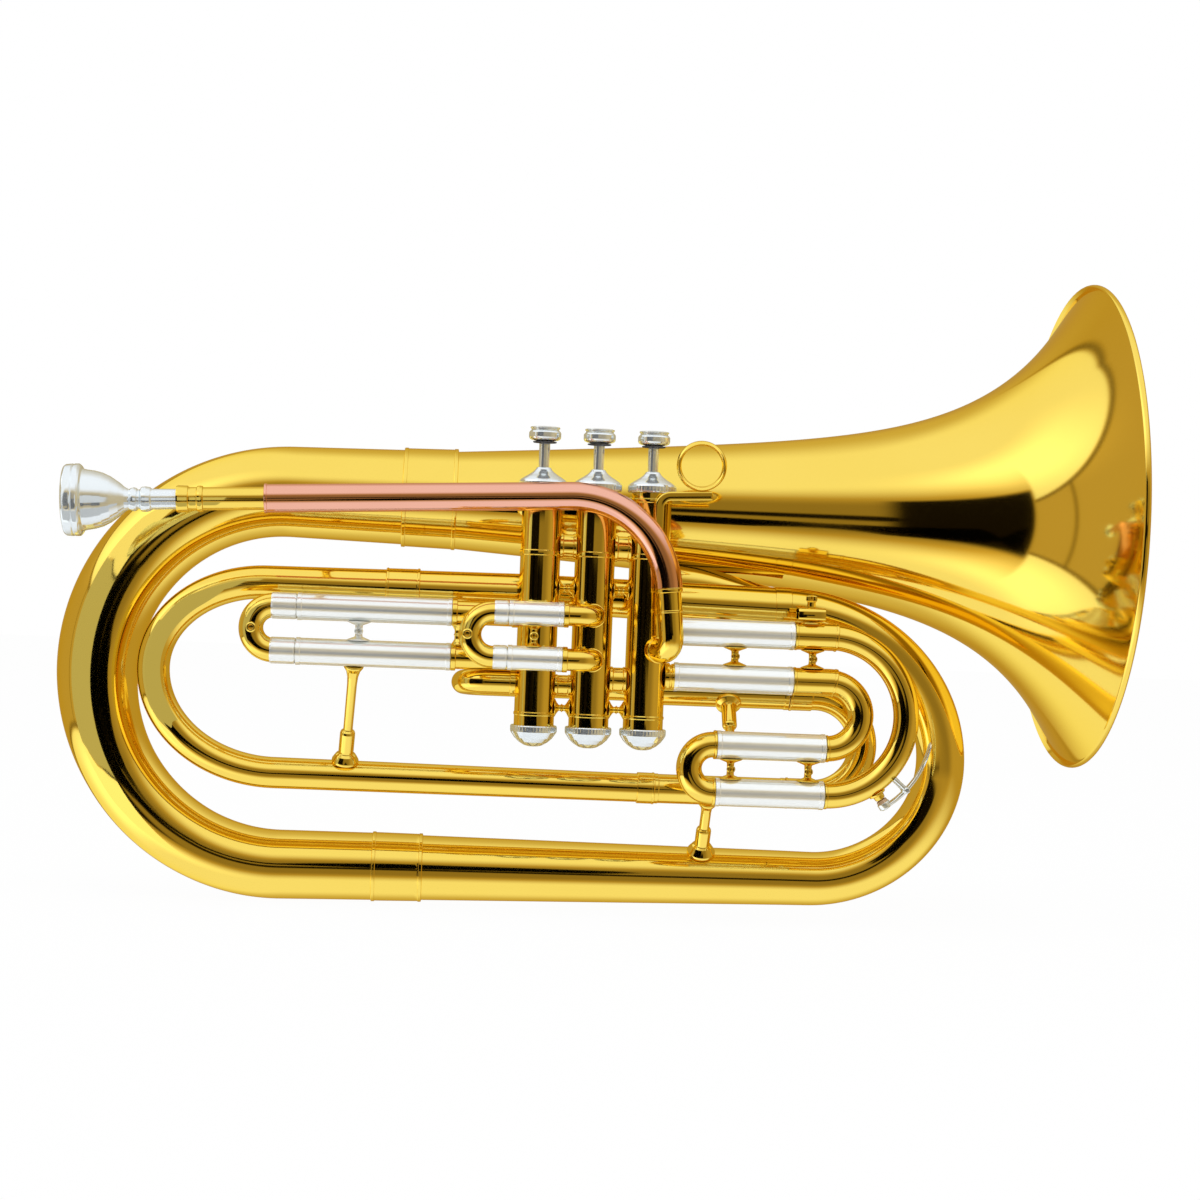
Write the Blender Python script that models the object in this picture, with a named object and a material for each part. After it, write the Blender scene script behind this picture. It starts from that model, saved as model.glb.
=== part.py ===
"""Marching euphonium: three top-sprung piston valves, four slides and a forward bell.

The frame is +X toward the bell, +Z up and -Y toward the player's right hand side.
The origin is on the axis of valve 2, at mid-height of the valve block.
All sizes below are millimetres; make_object turns them into metres.
"""

from math import cos, exp, pi, radians, sin

import bmesh
import bpy
from mathutils import Matrix, Vector

MM = 0.001
GAP = 0.3
ARC_STEP = radians(22.5)
TUBE_SIDES = 10

# Depth planes: the tubing lies in layers from the leadpipe in front to the bell behind
LEADPIPE_Y = -22.0
SECOND_SLIDE_Y = -21.0
VALVE_Y = 0.0
BRANCH_Y = 30.0
BELL_Y = 60.0

# Valves
VALVE_PITCH = 30.0
CASING_RADIUS = 11.0
CASING_BORE = 9.5
CASING_TOP = 67.0
CASING_BOTTOM = -68.0
PISTON_RADIUS = 9.2
PISTON_TOP = 50.0
PISTON_BOTTOM = -42.0
PORT_RADIUS = 6.0
STEM_RADIUS = 3.0
BUTTON_RADIUS = 8.8
BUTTON_BOTTOM = 90.2
BUTTON_TOP = 98.2
TOP_CAP_RADIUS = 13.4
TOP_CAP_TOP = 76.0
BOTTOM_CAP_RADIUS = 12.8
BOTTOM_CAP_BOTTOM = -77.0
CASING_RING_Z = 28.0
CASING_RING_STEP = 0.4
CASING_BRACE_RADIUS = 2.2
CASING_BRACE_HEIGHTS = (10.0, -56.0)
PORT_HEIGHTS = (-28.0, 18.0)
SPRING_RADIUS = 7.6
SPRING_WIRE = 0.6
SPRING_TURNS = 5
KNUCKLE_RADIUS = 6.8
KNUCKLE_THIN_RADIUS = 5.4
KNUCKLE_UPPER_Z = 33.0
KNUCKLE_LOWER_Z = (-43.0, -39.0)

# Slides: sleeves are fixed, legs slide in them, bows join the legs
SLEEVE_RADIUS = 7.7
SLEEVE_BORE = 6.7
LEG_RADIUS = 6.4
BOW_RADIUS = 7.1
AIR_RADIUS = 5.8
NECK_RADIUS = 6.6
BRACE_RADIUS = 2.2
THIN_WALL = 0.9

FIRST_UPPER_Z = -5.4
FIRST_LOWER_Z = -29.8
FIRST_SLEEVE_LEFT = -160.8
FIRST_SLEEVE_RIGHT = -77.0
FIRST_BOW_LEFT = -192.5
FIRST_LEG_DEPTH = 78.0
FIRST_BRACE_X = -127.3

SECOND_UPPER_Z = -4.2
SECOND_LOWER_Z = -28.4
SECOND_SLEEVE_LEFT = -46.2
SECOND_SLEEVE_RIGHT = -17.0
SECOND_BOW_LEFT = -71.9
SECOND_LEG_DEPTH = 27.0
SECOND_BRACE_X = -32.6
SECOND_ELBOW_BEND = 8.6

THIRD_Z = (-11.0, -36.0, -72.6, -98.6)
THIRD_UPPER_END = 111.4
THIRD_LOWER_START = 69.4
THIRD_LOWER_END = 131.1
THIRD_BOW_X = 132.4
THIRD_LEG_DEPTH = 57.0
THIRD_FIXED_BRACE_X = 79.4
THIRD_BRACE_X = 122.5

TUNING_UPPER_Z = -45.0
TUNING_LOWER_Z = -100.2
TUNING_SLEEVE_RADIUS = 8.2
TUNING_SLEEVE_BORE = 7.2
TUNING_LEG_RADIUS = 6.9
TUNING_BOW_RADIUS = 8.0
TUNING_SLEEVE_LEFT = 40.0
TUNING_SLEEVE_RIGHT = 114.0
TUNING_BOW_X = 130.0
TUNING_LEG_DEPTH = 66.0

# Exit crook from valve 1 to the tuning slide
CROOK_LEFT_X = -69.2
CROOK_Y = 4.0
CROOK_Z = -43.4
CROOK_RADIUS = 6.6
CROOK_BEND = 12.9

# Conical branches: radii grow from the tuning slide to the bell
INNER_TOP_Z = 7.0
INNER_MIDDLE_Z = -42.0
INNER_BOTTOM_Z = -98.8
INNER_LEFT_X = -241.0
INNER_TOP_BEND_X = -180.0
INNER_BOTTOM_BEND_X = -172.0
INNER_START_RADIUS = 8.0
INNER_MIDDLE_RADIUS = 9.3
INNER_END_RADIUS = 11.6
INNER_DIP_X = -40.0
JOIN_X = 104.0
JOIN_Z = 4.0
JOIN_GAP = 0.9
RIGHT_X = 205.8
RIGHT_MIDDLE_Z = -84.0
RIGHT_TOP_BEND_X = 110.0
RIGHT_BOTTOM_BEND_X = 134.6
RIGHT_END_RADIUS = 15.6
BELL_BRACE_X = 110.0
BELL_BRACE_RADIUS = 5.0
BOTTOM_START_X = 118.0
BOTTOM_START_Z = -151.6
BOTTOM_END_X = -116.8
BOTTOM_END_Z = -152.9
BOTTOM_END_RADIUS = 18.5
BOTTOM_COLLAR = 28.8
BOTTOM_COLLAR_RADIUS = 19.7
BELL_Z = 58.1
BELL_BOW_LEFT_X = -276.6
BELL_BOW_BEND_X = -169.8
BELL_BOW_MIDDLE_Z = -46.0
BELL_BOW_TOP_Z = 59.0
BELL_BOW_BOTTOM_Z = -153.5
BELL_BOW_START_RADIUS = 19.1
BELL_BOW_LOW_RADIUS = 19.5
BELL_BOW_HIGH_RADIUS = 25.9
BELL_BOW_END_RADIUS = 27.6
BELL_COLLAR_RADIUS = 28.9
BELL_FERRULE_LEFT = -107.9
BELL_LEFT_X = -77.0
WALL = 1.2

# Bell: a cone that opens into a flare, given by the radius at a distance from the rim
BELL_RIM_X = 286.0
BELL_RIM_RADIUS = 140.0
BELL_THROAT_RADIUS = 27.8
BELL_TAPER = 0.065
BELL_FLARE_LENGTH = 49.2
BELL_LIP_DEPTH = 3.2
BELL_LIP_WALL = 3.6

# Leadpipe and mouthpiece: one straight line, rising toward the valves
LEADPIPE_START = Vector((-286.3, LEADPIPE_Y, 46.2))
LEADPIPE_SLOPE = 0.0505
RECEIVER_START = 60.5
RECEIVER_LENGTH = 46.6
LEADPIPE_RADIUS = 7.65
LEADPIPE_CORNER = Vector((34.4, LEADPIPE_Y, 62.4))
LEADPIPE_BEND = 57.0
LEADPIPE_BRACE_X = -150.0
ELBOW_TOP_Z = 6.0
ELBOW_CORNER = Vector((42.4, LEADPIPE_Y, -21.7))
ELBOW_RADIUS = 6.75
ELBOW_BEND = 8.0
MOUTHPIECE_RIM_RADIUS = 19.3
SHANK_RADIUS = 5.4
SHANK_DEPTH = 20.0

# Finger ring on its strap
RING_CENTRE = Vector((56.0, -13.8, 78.8))
RING_OUTER = 13.8
RING_INNER = 11.7
RING_DEPTH = 5.0
STRAP_RADIUS = 2.6
STRAP_TOP_Z = (63.6, 60.0)
STRAP_X = (63.0, 33.3)
STRAP_FOOT_Z = 40.0
STRAP_BEND = 5.0

# Water key on the outer bow of the third slide
KEY_NIPPLE_ANGLE = radians(-55)
KEY_PIVOT_ANGLE = radians(-41)
KEY_TOUCH_ANGLE = radians(-12)
KEY_ARC = 59.3
NIPPLE_HEIGHT = 3.0
KEY_EAR_Y = 3.4
KEY_PIN_RADIUS = 1.0
KEY_PIN_HALF = 5.2

# Lyre box over the third slide, with a screw on top
LYRE_X = 120.8
LYRE_SIZE = (15.0, 11.0, 7.6)
LYRE_SLOT = (30.0, 7.4, 4.8)
LYRE_FOOT = (10.0, 6.0, 2.0)
LYRE_SCREW_RADII = (2.4, 3.2)
LYRE_SCREW_HEIGHT = 7.0

# Struts: where each meets the tube above and the tube below, with the lower tube's radius there
LONG_STRUT_X = (-129.0, -133.5)
LONG_STRUT_SEAT = 8.9
SHORT_STRUT_X = (71.5, 70.5)
SHORT_STRUT_SEAT = 16.4
POST_X = (80.0, 79.0)

BRASS = ((0.80, 0.50, 0.13, 1.0), 1.0, 0.16)
COPPER = ((0.78, 0.36, 0.22, 1.0), 1.0, 0.18)
NICKEL = ((0.72, 0.71, 0.68, 1.0), 1.0, 0.20)
SILVER = ((0.83, 0.83, 0.84, 1.0), 1.0, 0.12)
STEEL = ((0.55, 0.56, 0.58, 1.0), 1.0, 0.30)


def clear_scene():
    for item in list(bpy.data.objects):
        bpy.data.objects.remove(item, do_unlink=True)


def make_material(name, look):
    colour, metallic, roughness = look
    made = bpy.data.materials.get(name) or bpy.data.materials.new(name)
    made.use_nodes = True
    shader = made.node_tree.nodes["Principled BSDF"]
    shader.inputs["Base Color"].default_value = colour
    shader.inputs["Metallic"].default_value = metallic
    shader.inputs["Roughness"].default_value = roughness
    return made


def make_object(name, shape, look, origin=(0.0, 0.0, 0.0)):
    """Turn a bmesh in millimetres into an object whose origin is the given point."""
    bmesh.ops.recalc_face_normals(shape, faces=shape.faces)
    mesh = bpy.data.meshes.new(name)
    shape.to_mesh(mesh)
    shape.free()
    point = Vector(origin)
    mesh.transform(Matrix.Scale(MM, 4) @ Matrix.Translation(-point))
    mesh.shade_smooth()
    mesh.set_sharp_from_angle(angle=radians(35))
    made = bpy.data.objects.new(name, mesh)
    made.location = point * MM
    mesh.materials.append(make_material(name + "_finish", look))
    bpy.context.scene.collection.objects.link(made)
    return made


def fuse(target, *parts):
    """Join hidden helper shapes into the target with Boolean unions."""
    for part in parts:
        apply_boolean(target, part, "UNION")


def cut(target, *parts):
    for part in parts:
        apply_boolean(target, part, "DIFFERENCE")


def apply_boolean(target, part, operation):
    part.hide_render = True
    part.display_type = "WIRE"
    step = target.modifiers.new(operation.lower(), "BOOLEAN")
    step.operation = operation
    step.object = part
    step.solver = "EXACT"


def carry(carrier_name, position, pieces):
    """Parent moving pieces to an empty that stands on their joint axis."""
    carrier = bpy.data.objects.new(carrier_name, None)
    carrier.location = Vector(position) * MM
    bpy.context.scene.collection.objects.link(carrier)
    for piece in pieces:
        piece.location = piece.location - carrier.location
        piece.parent = carrier


def arc(centre, start, turn_axis, angle, steps=None):
    """Points from start round the centre by the angle, both ends included."""
    count = steps or max(2, round(abs(angle) / ARC_STEP))
    spoke = Vector(start) - Vector(centre)
    turns = [Matrix.Rotation(angle * k / count, 3, turn_axis) for k in range(count + 1)]
    return [Vector(centre) + turn @ spoke for turn in turns]


def rounded(corners, bend):
    """A route through the corners, each inner corner rounded to the bend radius."""
    corners = [Vector(corner) for corner in corners]
    route = [corners[0]]
    for before, corner, after in zip(corners, corners[1:], corners[2:]):
        arriving = (corner - before).normalized()
        leaving = (after - corner).normalized()
        angle = arriving.angle(leaving)
        setback = bend * (1 - cos(angle)) / sin(angle)
        axis = arriving.cross(leaving).normalized()
        first = corner - arriving * setback
        centre = first + axis.cross(arriving) * bend
        route += arc(centre, first, axis, angle)
    route.append(corners[-1])
    return [p for k, p in enumerate(route) if k == 0 or (p - route[k - 1]).length > 1e-3]


def distances(path):
    travelled = [0.0]
    for before, point in zip(path, path[1:]):
        travelled.append(travelled[-1] + (point - before).length)
    return travelled


def path_length(path):
    return distances(path)[-1]


def radii_at(profile, distance):
    """The radii of a stepped profile just before and just after a distance."""
    found = []
    for (start, r_start), (end, r_end) in zip(profile, profile[1:]):
        if end > start and start - 1e-6 <= distance <= end + 1e-6:
            share = (distance - start) / (end - start)
            found.append(r_start + (r_end - r_start) * share)
    return found[0], found[-1]


def path_frames(path, places):
    """Centre and two cross directions at each distance, with no twist along the path."""
    travelled = distances(path)
    headings = [(b - a).normalized() for a, b in zip(path, path[1:])]
    tangents = [headings[0]]
    tangents += [(a + b).normalized() for a, b in zip(headings, headings[1:])]
    tangents.append(headings[-1])
    start = Vector((0, 1, 0)) if abs(tangents[0].y) < 0.9 else Vector((0, 0, 1))
    side = (start - tangents[0] * start.dot(tangents[0])).normalized()
    sides = [side]
    for tangent in tangents[1:]:
        side = (side - tangent * side.dot(tangent)).normalized()
        sides.append(side)
    frames = []
    for place in places:
        k = max(i for i in range(len(path)) if travelled[i] <= place + 1e-6)
        k = min(k, len(path) - 2)
        share = (place - travelled[k]) / (travelled[k + 1] - travelled[k])
        tangent = headings[k]
        if share < 1e-3 or share > 1 - 1e-3:
            tangent = tangents[k + round(share)]
        across = sides[k].lerp(sides[k + 1], share)
        across = (across - tangent * across.dot(tangent)).normalized()
        frames.append((path[k].lerp(path[k + 1], share), across, tangent.cross(across)))
    return frames


def add_wall(shape, path, profile, sides):
    """Rings of one tube wall, bridged in order. Returns its first and last ring."""
    wanted = distances(path) + [place for place, _ in profile]
    places = []
    for place in sorted(wanted):
        if not places or place - places[-1] > 0.02:
            places.append(place)
    rings = []
    for place, (centre, u, v) in zip(places, path_frames(path, places)):
        before, after = radii_at(profile, place)
        for radius in [before] if abs(before - after) < 1e-6 else [before, after]:
            spokes = [2 * pi * k / sides for k in range(sides)]
            points = [centre + (u * cos(a) + v * sin(a)) * radius for a in spokes]
            rings.append([shape.verts.new(point) for point in points])
    for lower, upper in zip(rings, rings[1:]):
        bridge(shape, lower, upper)
    return rings[0], rings[-1]


def bridge(shape, lower, upper):
    """Join two rings; a ring of one vertex is a tip."""
    count = max(len(lower), len(upper))
    for k in range(count):
        after = (k + 1) % count
        if len(lower) == 1:
            shape.faces.new((lower[0], upper[k], upper[after]))
        elif len(upper) == 1:
            shape.faces.new((lower[k], lower[after], upper[0]))
        else:
            shape.faces.new((lower[k], lower[after], upper[after], upper[k]))


def tube_shape(path, outer, inner=None, sides=TUBE_SIDES):
    """A tube along a path. Profiles are (distance, radius) lists; no inner profile is a rod."""
    path = [Vector(point) for point in path]
    shape = bmesh.new()
    first, last = add_wall(shape, path, outer, sides)
    if inner is None:
        shape.faces.new(first)
        shape.faces.new(last)
    else:
        inner_first, inner_last = add_wall(shape, path, inner, sides)
        bridge(shape, first, inner_first)
        bridge(shape, last, inner_last)
    return shape


def even(length, radius, end_radius=None):
    return [(0.0, radius), (length, radius if end_radius is None else end_radius)]


def pipe(name, path, outer, wall, look, sides=TUBE_SIDES, origin=(0, 0, 0)):
    """A tube whose bore follows its outside at an even wall."""
    inner = [(place, radius - wall) for place, radius in outer]
    return make_object(name, tube_shape(path, outer, inner, sides), look, origin)


def rod(name, start, end, radius, look, sides=10, end_radius=None):
    path = [Vector(start), Vector(end)]
    profile = even(path_length(path), radius, end_radius)
    return make_object(name, tube_shape(path, profile, None, sides), look)


def turned(outline, sides=20):
    """A turned shape about +Z from (radius, height) points; a closed outline unless it ends on the axis."""
    shape = bmesh.new()
    rings = []
    for radius, height in outline:
        if radius < 1e-6:
            rings.append([shape.verts.new((0, 0, height))])
            continue
        spokes = [2 * pi * k / sides for k in range(sides)]
        rings.append([shape.verts.new((radius * cos(a), radius * sin(a), height)) for a in spokes])
    for lower, upper in zip(rings, rings[1:]):
        bridge(shape, lower, upper)
    if outline[0][0] > 1e-6:
        bridge(shape, rings[-1], rings[0])
    return shape


def box_shape(size, centre):
    shape = bmesh.new()
    bmesh.ops.create_cube(shape, size=1.0)
    bmesh.ops.scale(shape, vec=size, verts=shape.verts)
    bmesh.ops.translate(shape, vec=centre, verts=shape.verts)
    return shape


def strut(name, start_axis, start_radius, end_axis, end_radius, profile, look):
    """A round post between two tubes, from skin to skin, with a gap at each end."""
    start = Vector(start_axis)
    end = Vector(end_axis)
    way = (end - start).normalized()
    first = start + way * (start_radius + GAP)
    last = end - way * (end_radius + GAP)
    length = (last - first).length
    outer = [(share * length, radius) for share, radius in profile]
    return make_object(name, tube_shape([first, last], outer, None, 10), look)


def valve_x(number):
    return (number - 2) * VALVE_PITCH


def build_valve(number):
    x = valve_x(number)
    ring = CASING_RADIUS + CASING_RING_STEP
    casing = [
        (CASING_RADIUS, CASING_BOTTOM), (CASING_RADIUS, CASING_RING_Z),
        (ring, CASING_RING_Z + CASING_RING_STEP), (ring, CASING_RING_Z + 4 * CASING_RING_STEP),
        (CASING_RADIUS, CASING_RING_Z + 5 * CASING_RING_STEP), (CASING_RADIUS, CASING_TOP),
        (CASING_BORE, CASING_TOP), (CASING_BORE, CASING_BOTTOM),
    ]
    shell = place_turned("valve_casing_%d" % number, casing, x, BRASS)
    if number == 2:
        add_casing_braces(shell, x)
    build_caps(number, x)
    piston = build_piston(number, x)
    stem = [
        (0, PISTON_TOP + GAP), (6.0, PISTON_TOP + GAP), (6.0, PISTON_TOP + 3.0),
        (STEM_RADIUS, PISTON_TOP + 3.5), (STEM_RADIUS, BUTTON_BOTTOM - GAP), (0, BUTTON_BOTTOM - GAP),
    ]
    stem = place_turned("valve_stem_%d" % number, stem, x, NICKEL, 14)
    button = [
        (0, BUTTON_BOTTOM), (BUTTON_RADIUS - 1.0, BUTTON_BOTTOM), (BUTTON_RADIUS, BUTTON_BOTTOM + 1.2),
        (BUTTON_RADIUS, BUTTON_TOP - 1.8), (BUTTON_RADIUS - 1.4, BUTTON_TOP - 0.2), (0, BUTTON_TOP),
    ]
    button = place_turned("finger_button_%d" % number, button, x, SILVER)
    carry("piston_axis_%d" % number, (x, VALVE_Y, 0), [piston, stem, button])
    build_spring(number, x)


def add_casing_braces(shell, x):
    """Four posts on the middle casing, which end just short of its neighbours."""
    for side in (-1, 1):
        for height in CASING_BRACE_HEIGHTS:
            start = (x + side * (CASING_RADIUS - 0.8), VALVE_Y, height)
            end = (x + side * (VALVE_PITCH - CASING_RADIUS - GAP), VALVE_Y, height)
            fuse(shell, rod("casing_brace_%d_%d" % (side, height), start, end, CASING_BRACE_RADIUS, BRASS))


def place_turned(name, outline, x, look, sides=18):
    shape = turned(outline, sides)
    bmesh.ops.translate(shape, vec=(x, VALVE_Y, 0), verts=shape.verts)
    return make_object(name, shape, look, (x, VALVE_Y, 0))


def build_piston(number, x):
    """A piston with two cross bores that line up with the ports when it is down."""
    body = [(0, PISTON_BOTTOM), (PISTON_RADIUS, PISTON_BOTTOM), (PISTON_RADIUS, PISTON_TOP), (0, PISTON_TOP)]
    piston = place_turned("piston_%d" % number, body, x, NICKEL)
    reach = PISTON_RADIUS + 5.0
    for height in PORT_HEIGHTS:
        bore = rod("port_%d_%d" % (number, height), (x - reach, VALVE_Y, height),
                   (x + reach, VALVE_Y, height), PORT_RADIUS, NICKEL)
        cut(piston, bore)
    return piston


def build_caps(number, x):
    skirt = CASING_RADIUS + GAP
    top = [
        (skirt, CASING_TOP - 2.8), (TOP_CAP_RADIUS, CASING_TOP - 2.8), (TOP_CAP_RADIUS, CASING_TOP + 1.6),
        (TOP_CAP_RADIUS - 2.4, CASING_TOP + 4.4), (7.2, CASING_TOP + 5.6), (6.2, TOP_CAP_TOP),
        (STEM_RADIUS + 0.6, TOP_CAP_TOP), (STEM_RADIUS + 0.6, CASING_TOP + GAP), (skirt, CASING_TOP + GAP),
    ]
    place_turned("top_cap_%d" % number, top, x, SILVER)
    bottom = [
        (skirt, CASING_BOTTOM + 2.6), (BOTTOM_CAP_RADIUS, CASING_BOTTOM + 2.6),
        (BOTTOM_CAP_RADIUS, CASING_BOTTOM - 2.6), (BOTTOM_CAP_RADIUS - 1.4, CASING_BOTTOM - 4.0),
        (6.0, BOTTOM_CAP_BOTTOM + 0.8), (2.0, BOTTOM_CAP_BOTTOM), (2.0, CASING_BOTTOM - 4.0),
        (4.0, CASING_BOTTOM - GAP), (skirt, CASING_BOTTOM - GAP),
    ]
    place_turned("bottom_cap_%d" % number, bottom, x, SILVER)


def build_spring(number, x):
    """The return spring, between the bottom cap's floor and the piston."""
    low = CASING_BOTTOM + SPRING_WIRE
    high = PISTON_BOTTOM - SPRING_WIRE - GAP
    steps = SPRING_TURNS * 6
    path = []
    for k in range(steps + 1):
        angle = 2 * pi * SPRING_TURNS * k / steps
        height = low + (high - low) * k / steps
        path.append(Vector((x + SPRING_RADIUS * cos(angle), SPRING_RADIUS * sin(angle), height)))
    shape = tube_shape(path, even(path_length(path), SPRING_WIRE), None, 4)
    make_object("valve_spring_%d" % number, shape, STEEL, (x, VALVE_Y, low))


def build_knuckle(name, number, height, radius):
    """A short tube across the gap from one casing to the next."""
    start = valve_x(number) + CASING_RADIUS + GAP
    end = valve_x(number + 1) - CASING_RADIUS - GAP
    path = [Vector((start, VALVE_Y, height)), Vector((end, VALVE_Y, height))]
    pipe(name, path, even(end - start, radius), WALL, BRASS)


def slide_path(y, upper_z, lower_z, inner_end, bow_centre, direction):
    """From one leg's inner end out to the bow, round it and back along the other leg."""
    radius = (upper_z - lower_z) / 2
    centre = Vector((bow_centre, y, (upper_z + lower_z) / 2))
    top = centre + Vector((0, 0, radius))
    bow = arc(centre, top, Vector((0, 1, 0)), pi * direction)
    return [Vector((inner_end, y, upper_z))] + bow + [Vector((inner_end, y, lower_z))]


def slide_profile(path, leg_length, leg, bow):
    """Thin legs inside the sleeves and a wider bow outside them."""
    total = path_length(path)
    return [
        (0.0, leg), (leg_length, leg), (leg_length, bow),
        (total - leg_length, bow), (total - leg_length, leg), (total, leg),
    ]


def slide(name, path, leg_length, leg, bow, air, look, origin):
    outer = slide_profile(path, leg_length, leg, bow)
    inner = even(path_length(path), air)
    return make_object(name, tube_shape(path, outer, inner), look, origin)


def sleeve(name, start, end, outer=SLEEVE_RADIUS, bore=SLEEVE_BORE):
    path = [Vector(start), Vector(end)]
    length = path_length(path)
    return make_object(name, tube_shape(path, even(length, outer), even(length, bore), 14), NICKEL)


def necked_sleeve(name, path, straight, neck=NECK_RADIUS):
    """A sleeve that goes on as a thinner tube to its valve."""
    total = path_length(path)
    outer = [(0, SLEEVE_RADIUS), (straight, SLEEVE_RADIUS), (straight, neck), (total, neck)]
    air = neck - THIN_WALL
    inner = [(0, SLEEVE_BORE), (straight - 1.0, SLEEVE_BORE), (straight - 1.0, air), (total, air)]
    return make_object(name, tube_shape(path, outer, inner), NICKEL)


def build_first_slide():
    centre = FIRST_BOW_LEFT + BOW_RADIUS + (FIRST_UPPER_Z - FIRST_LOWER_Z) / 2
    mouth = FIRST_SLEEVE_LEFT - GAP
    deep = mouth + FIRST_LEG_DEPTH
    path = slide_path(VALVE_Y, FIRST_UPPER_Z, FIRST_LOWER_Z, deep, centre, -1)
    middle = (FIRST_UPPER_Z + FIRST_LOWER_Z) / 2
    origin = (mouth, VALVE_Y, middle)
    moving = slide("first_slide", path, FIRST_LEG_DEPTH, LEG_RADIUS, BOW_RADIUS, AIR_RADIUS, BRASS, origin)
    fuse(moving, bow_knob("first_knob", FIRST_BOW_LEFT + BOW_RADIUS, VALVE_Y, middle))
    carry("first_slide_axis", origin, [moving])
    end = valve_x(1) - CASING_RADIUS - GAP
    for name, height in (("upper", FIRST_UPPER_Z), ("lower", FIRST_LOWER_Z)):
        ends = [Vector((FIRST_SLEEVE_LEFT, VALVE_Y, height)), Vector((end, VALVE_Y, height))]
        necked_sleeve("first_sleeve_" + name, ends, FIRST_SLEEVE_RIGHT - FIRST_SLEEVE_LEFT)
    upper = (FIRST_BRACE_X, VALVE_Y, FIRST_UPPER_Z)
    lower = (FIRST_BRACE_X, VALVE_Y, FIRST_LOWER_Z)
    brace = [(0.0, 4.0), (0.2, 2.6), (0.8, 2.6), (1.0, 4.0)]
    strut("first_sleeve_brace", upper, SLEEVE_RADIUS, lower, SLEEVE_RADIUS, brace, NICKEL)


def bow_knob(name, x, y, z):
    """The pull knob soldered to the front of a bow."""
    start = Vector((x, y - BOW_RADIUS + 1.0, z))
    return rod(name, start, start - Vector((0, 5.0, 0)), 1.8, NICKEL, 8, 2.4)


def build_second_slide():
    centre = SECOND_BOW_LEFT + BOW_RADIUS + (SECOND_UPPER_Z - SECOND_LOWER_Z) / 2
    mouth = SECOND_SLEEVE_LEFT - GAP
    deep = mouth + SECOND_LEG_DEPTH
    path = slide_path(SECOND_SLIDE_Y, SECOND_UPPER_Z, SECOND_LOWER_Z, deep, centre, -1)
    middle = (SECOND_UPPER_Z + SECOND_LOWER_Z) / 2
    origin = (mouth, SECOND_SLIDE_Y, middle)
    moving = slide("second_slide", path, SECOND_LEG_DEPTH, LEG_RADIUS, BOW_RADIUS, AIR_RADIUS, BRASS, origin)
    fuse(moving, bow_knob("second_knob", SECOND_BOW_LEFT + BOW_RADIUS, SECOND_SLIDE_Y, middle))
    carry("second_slide_axis", origin, [moving])
    upper = build_second_sleeve("second_sleeve_upper", SECOND_UPPER_Z)
    build_second_sleeve("second_sleeve_lower", SECOND_LOWER_Z)
    fuse(upper, sleeve_post("second_brace", SECOND_BRACE_X, SECOND_SLIDE_Y, SECOND_UPPER_Z, SECOND_LOWER_Z))


def build_second_sleeve(name, height):
    """A sleeve that goes on as an elbow, back into the front of valve 2."""
    corners = [
        (SECOND_SLEEVE_LEFT, SECOND_SLIDE_Y, height),
        (0.0, SECOND_SLIDE_Y, height),
        (0.0, -CASING_RADIUS - GAP, height),
    ]
    return necked_sleeve(name, rounded(corners, SECOND_ELBOW_BEND), SECOND_SLEEVE_RIGHT - SECOND_SLEEVE_LEFT)


def sleeve_post(name, x, y, upper_z, lower_z, gap=GAP):
    """A brace that starts inside the upper sleeve's wall and ends just above the lower sleeve."""
    inside = (SLEEVE_RADIUS + SLEEVE_BORE) / 2
    below = lower_z + (SLEEVE_RADIUS + gap if gap else inside)
    return rod(name, (x, y, upper_z - inside), (x, y, below), BRACE_RADIUS, NICKEL)


def build_third_slide():
    """Two nested bows that move together; the lower pair of sleeves is one fixed loop."""
    z1, z2, z3, z4 = THIRD_Z
    start = valve_x(3) + CASING_RADIUS + GAP
    upper = sleeve("third_sleeve_upper", (start, VALVE_Y, z1), (THIRD_UPPER_END, VALVE_Y, z1))
    fuse(upper, sleeve_post("third_brace", THIRD_FIXED_BRACE_X, VALVE_Y, z1, z2))
    sleeve("third_sleeve_inner", (start, VALVE_Y, z2), (THIRD_UPPER_END, VALVE_Y, z2))
    build_return_loop(z3, z4)
    origin = (THIRD_UPPER_END, VALVE_Y, (z1 + z2) / 2)
    outer_bow = third_bow("third_slide_outer_bow", z1, z4, origin)
    inner_bow = third_bow("third_slide_inner_bow", z2, z3, origin)
    fuse(outer_bow, water_nipple())
    profile = [(0.0, 3.8), (0.25, 2.3), (0.75, 2.3), (1.0, 3.8)]
    brace = strut("third_slide_brace", (THIRD_BRACE_X, VALVE_Y, z1), SLEEVE_RADIUS,
                  (THIRD_BRACE_X, VALVE_Y, z2), SLEEVE_RADIUS, profile, NICKEL)
    carry("third_slide_axis", origin, [outer_bow, inner_bow, brace] + build_lyre_box())


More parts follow.
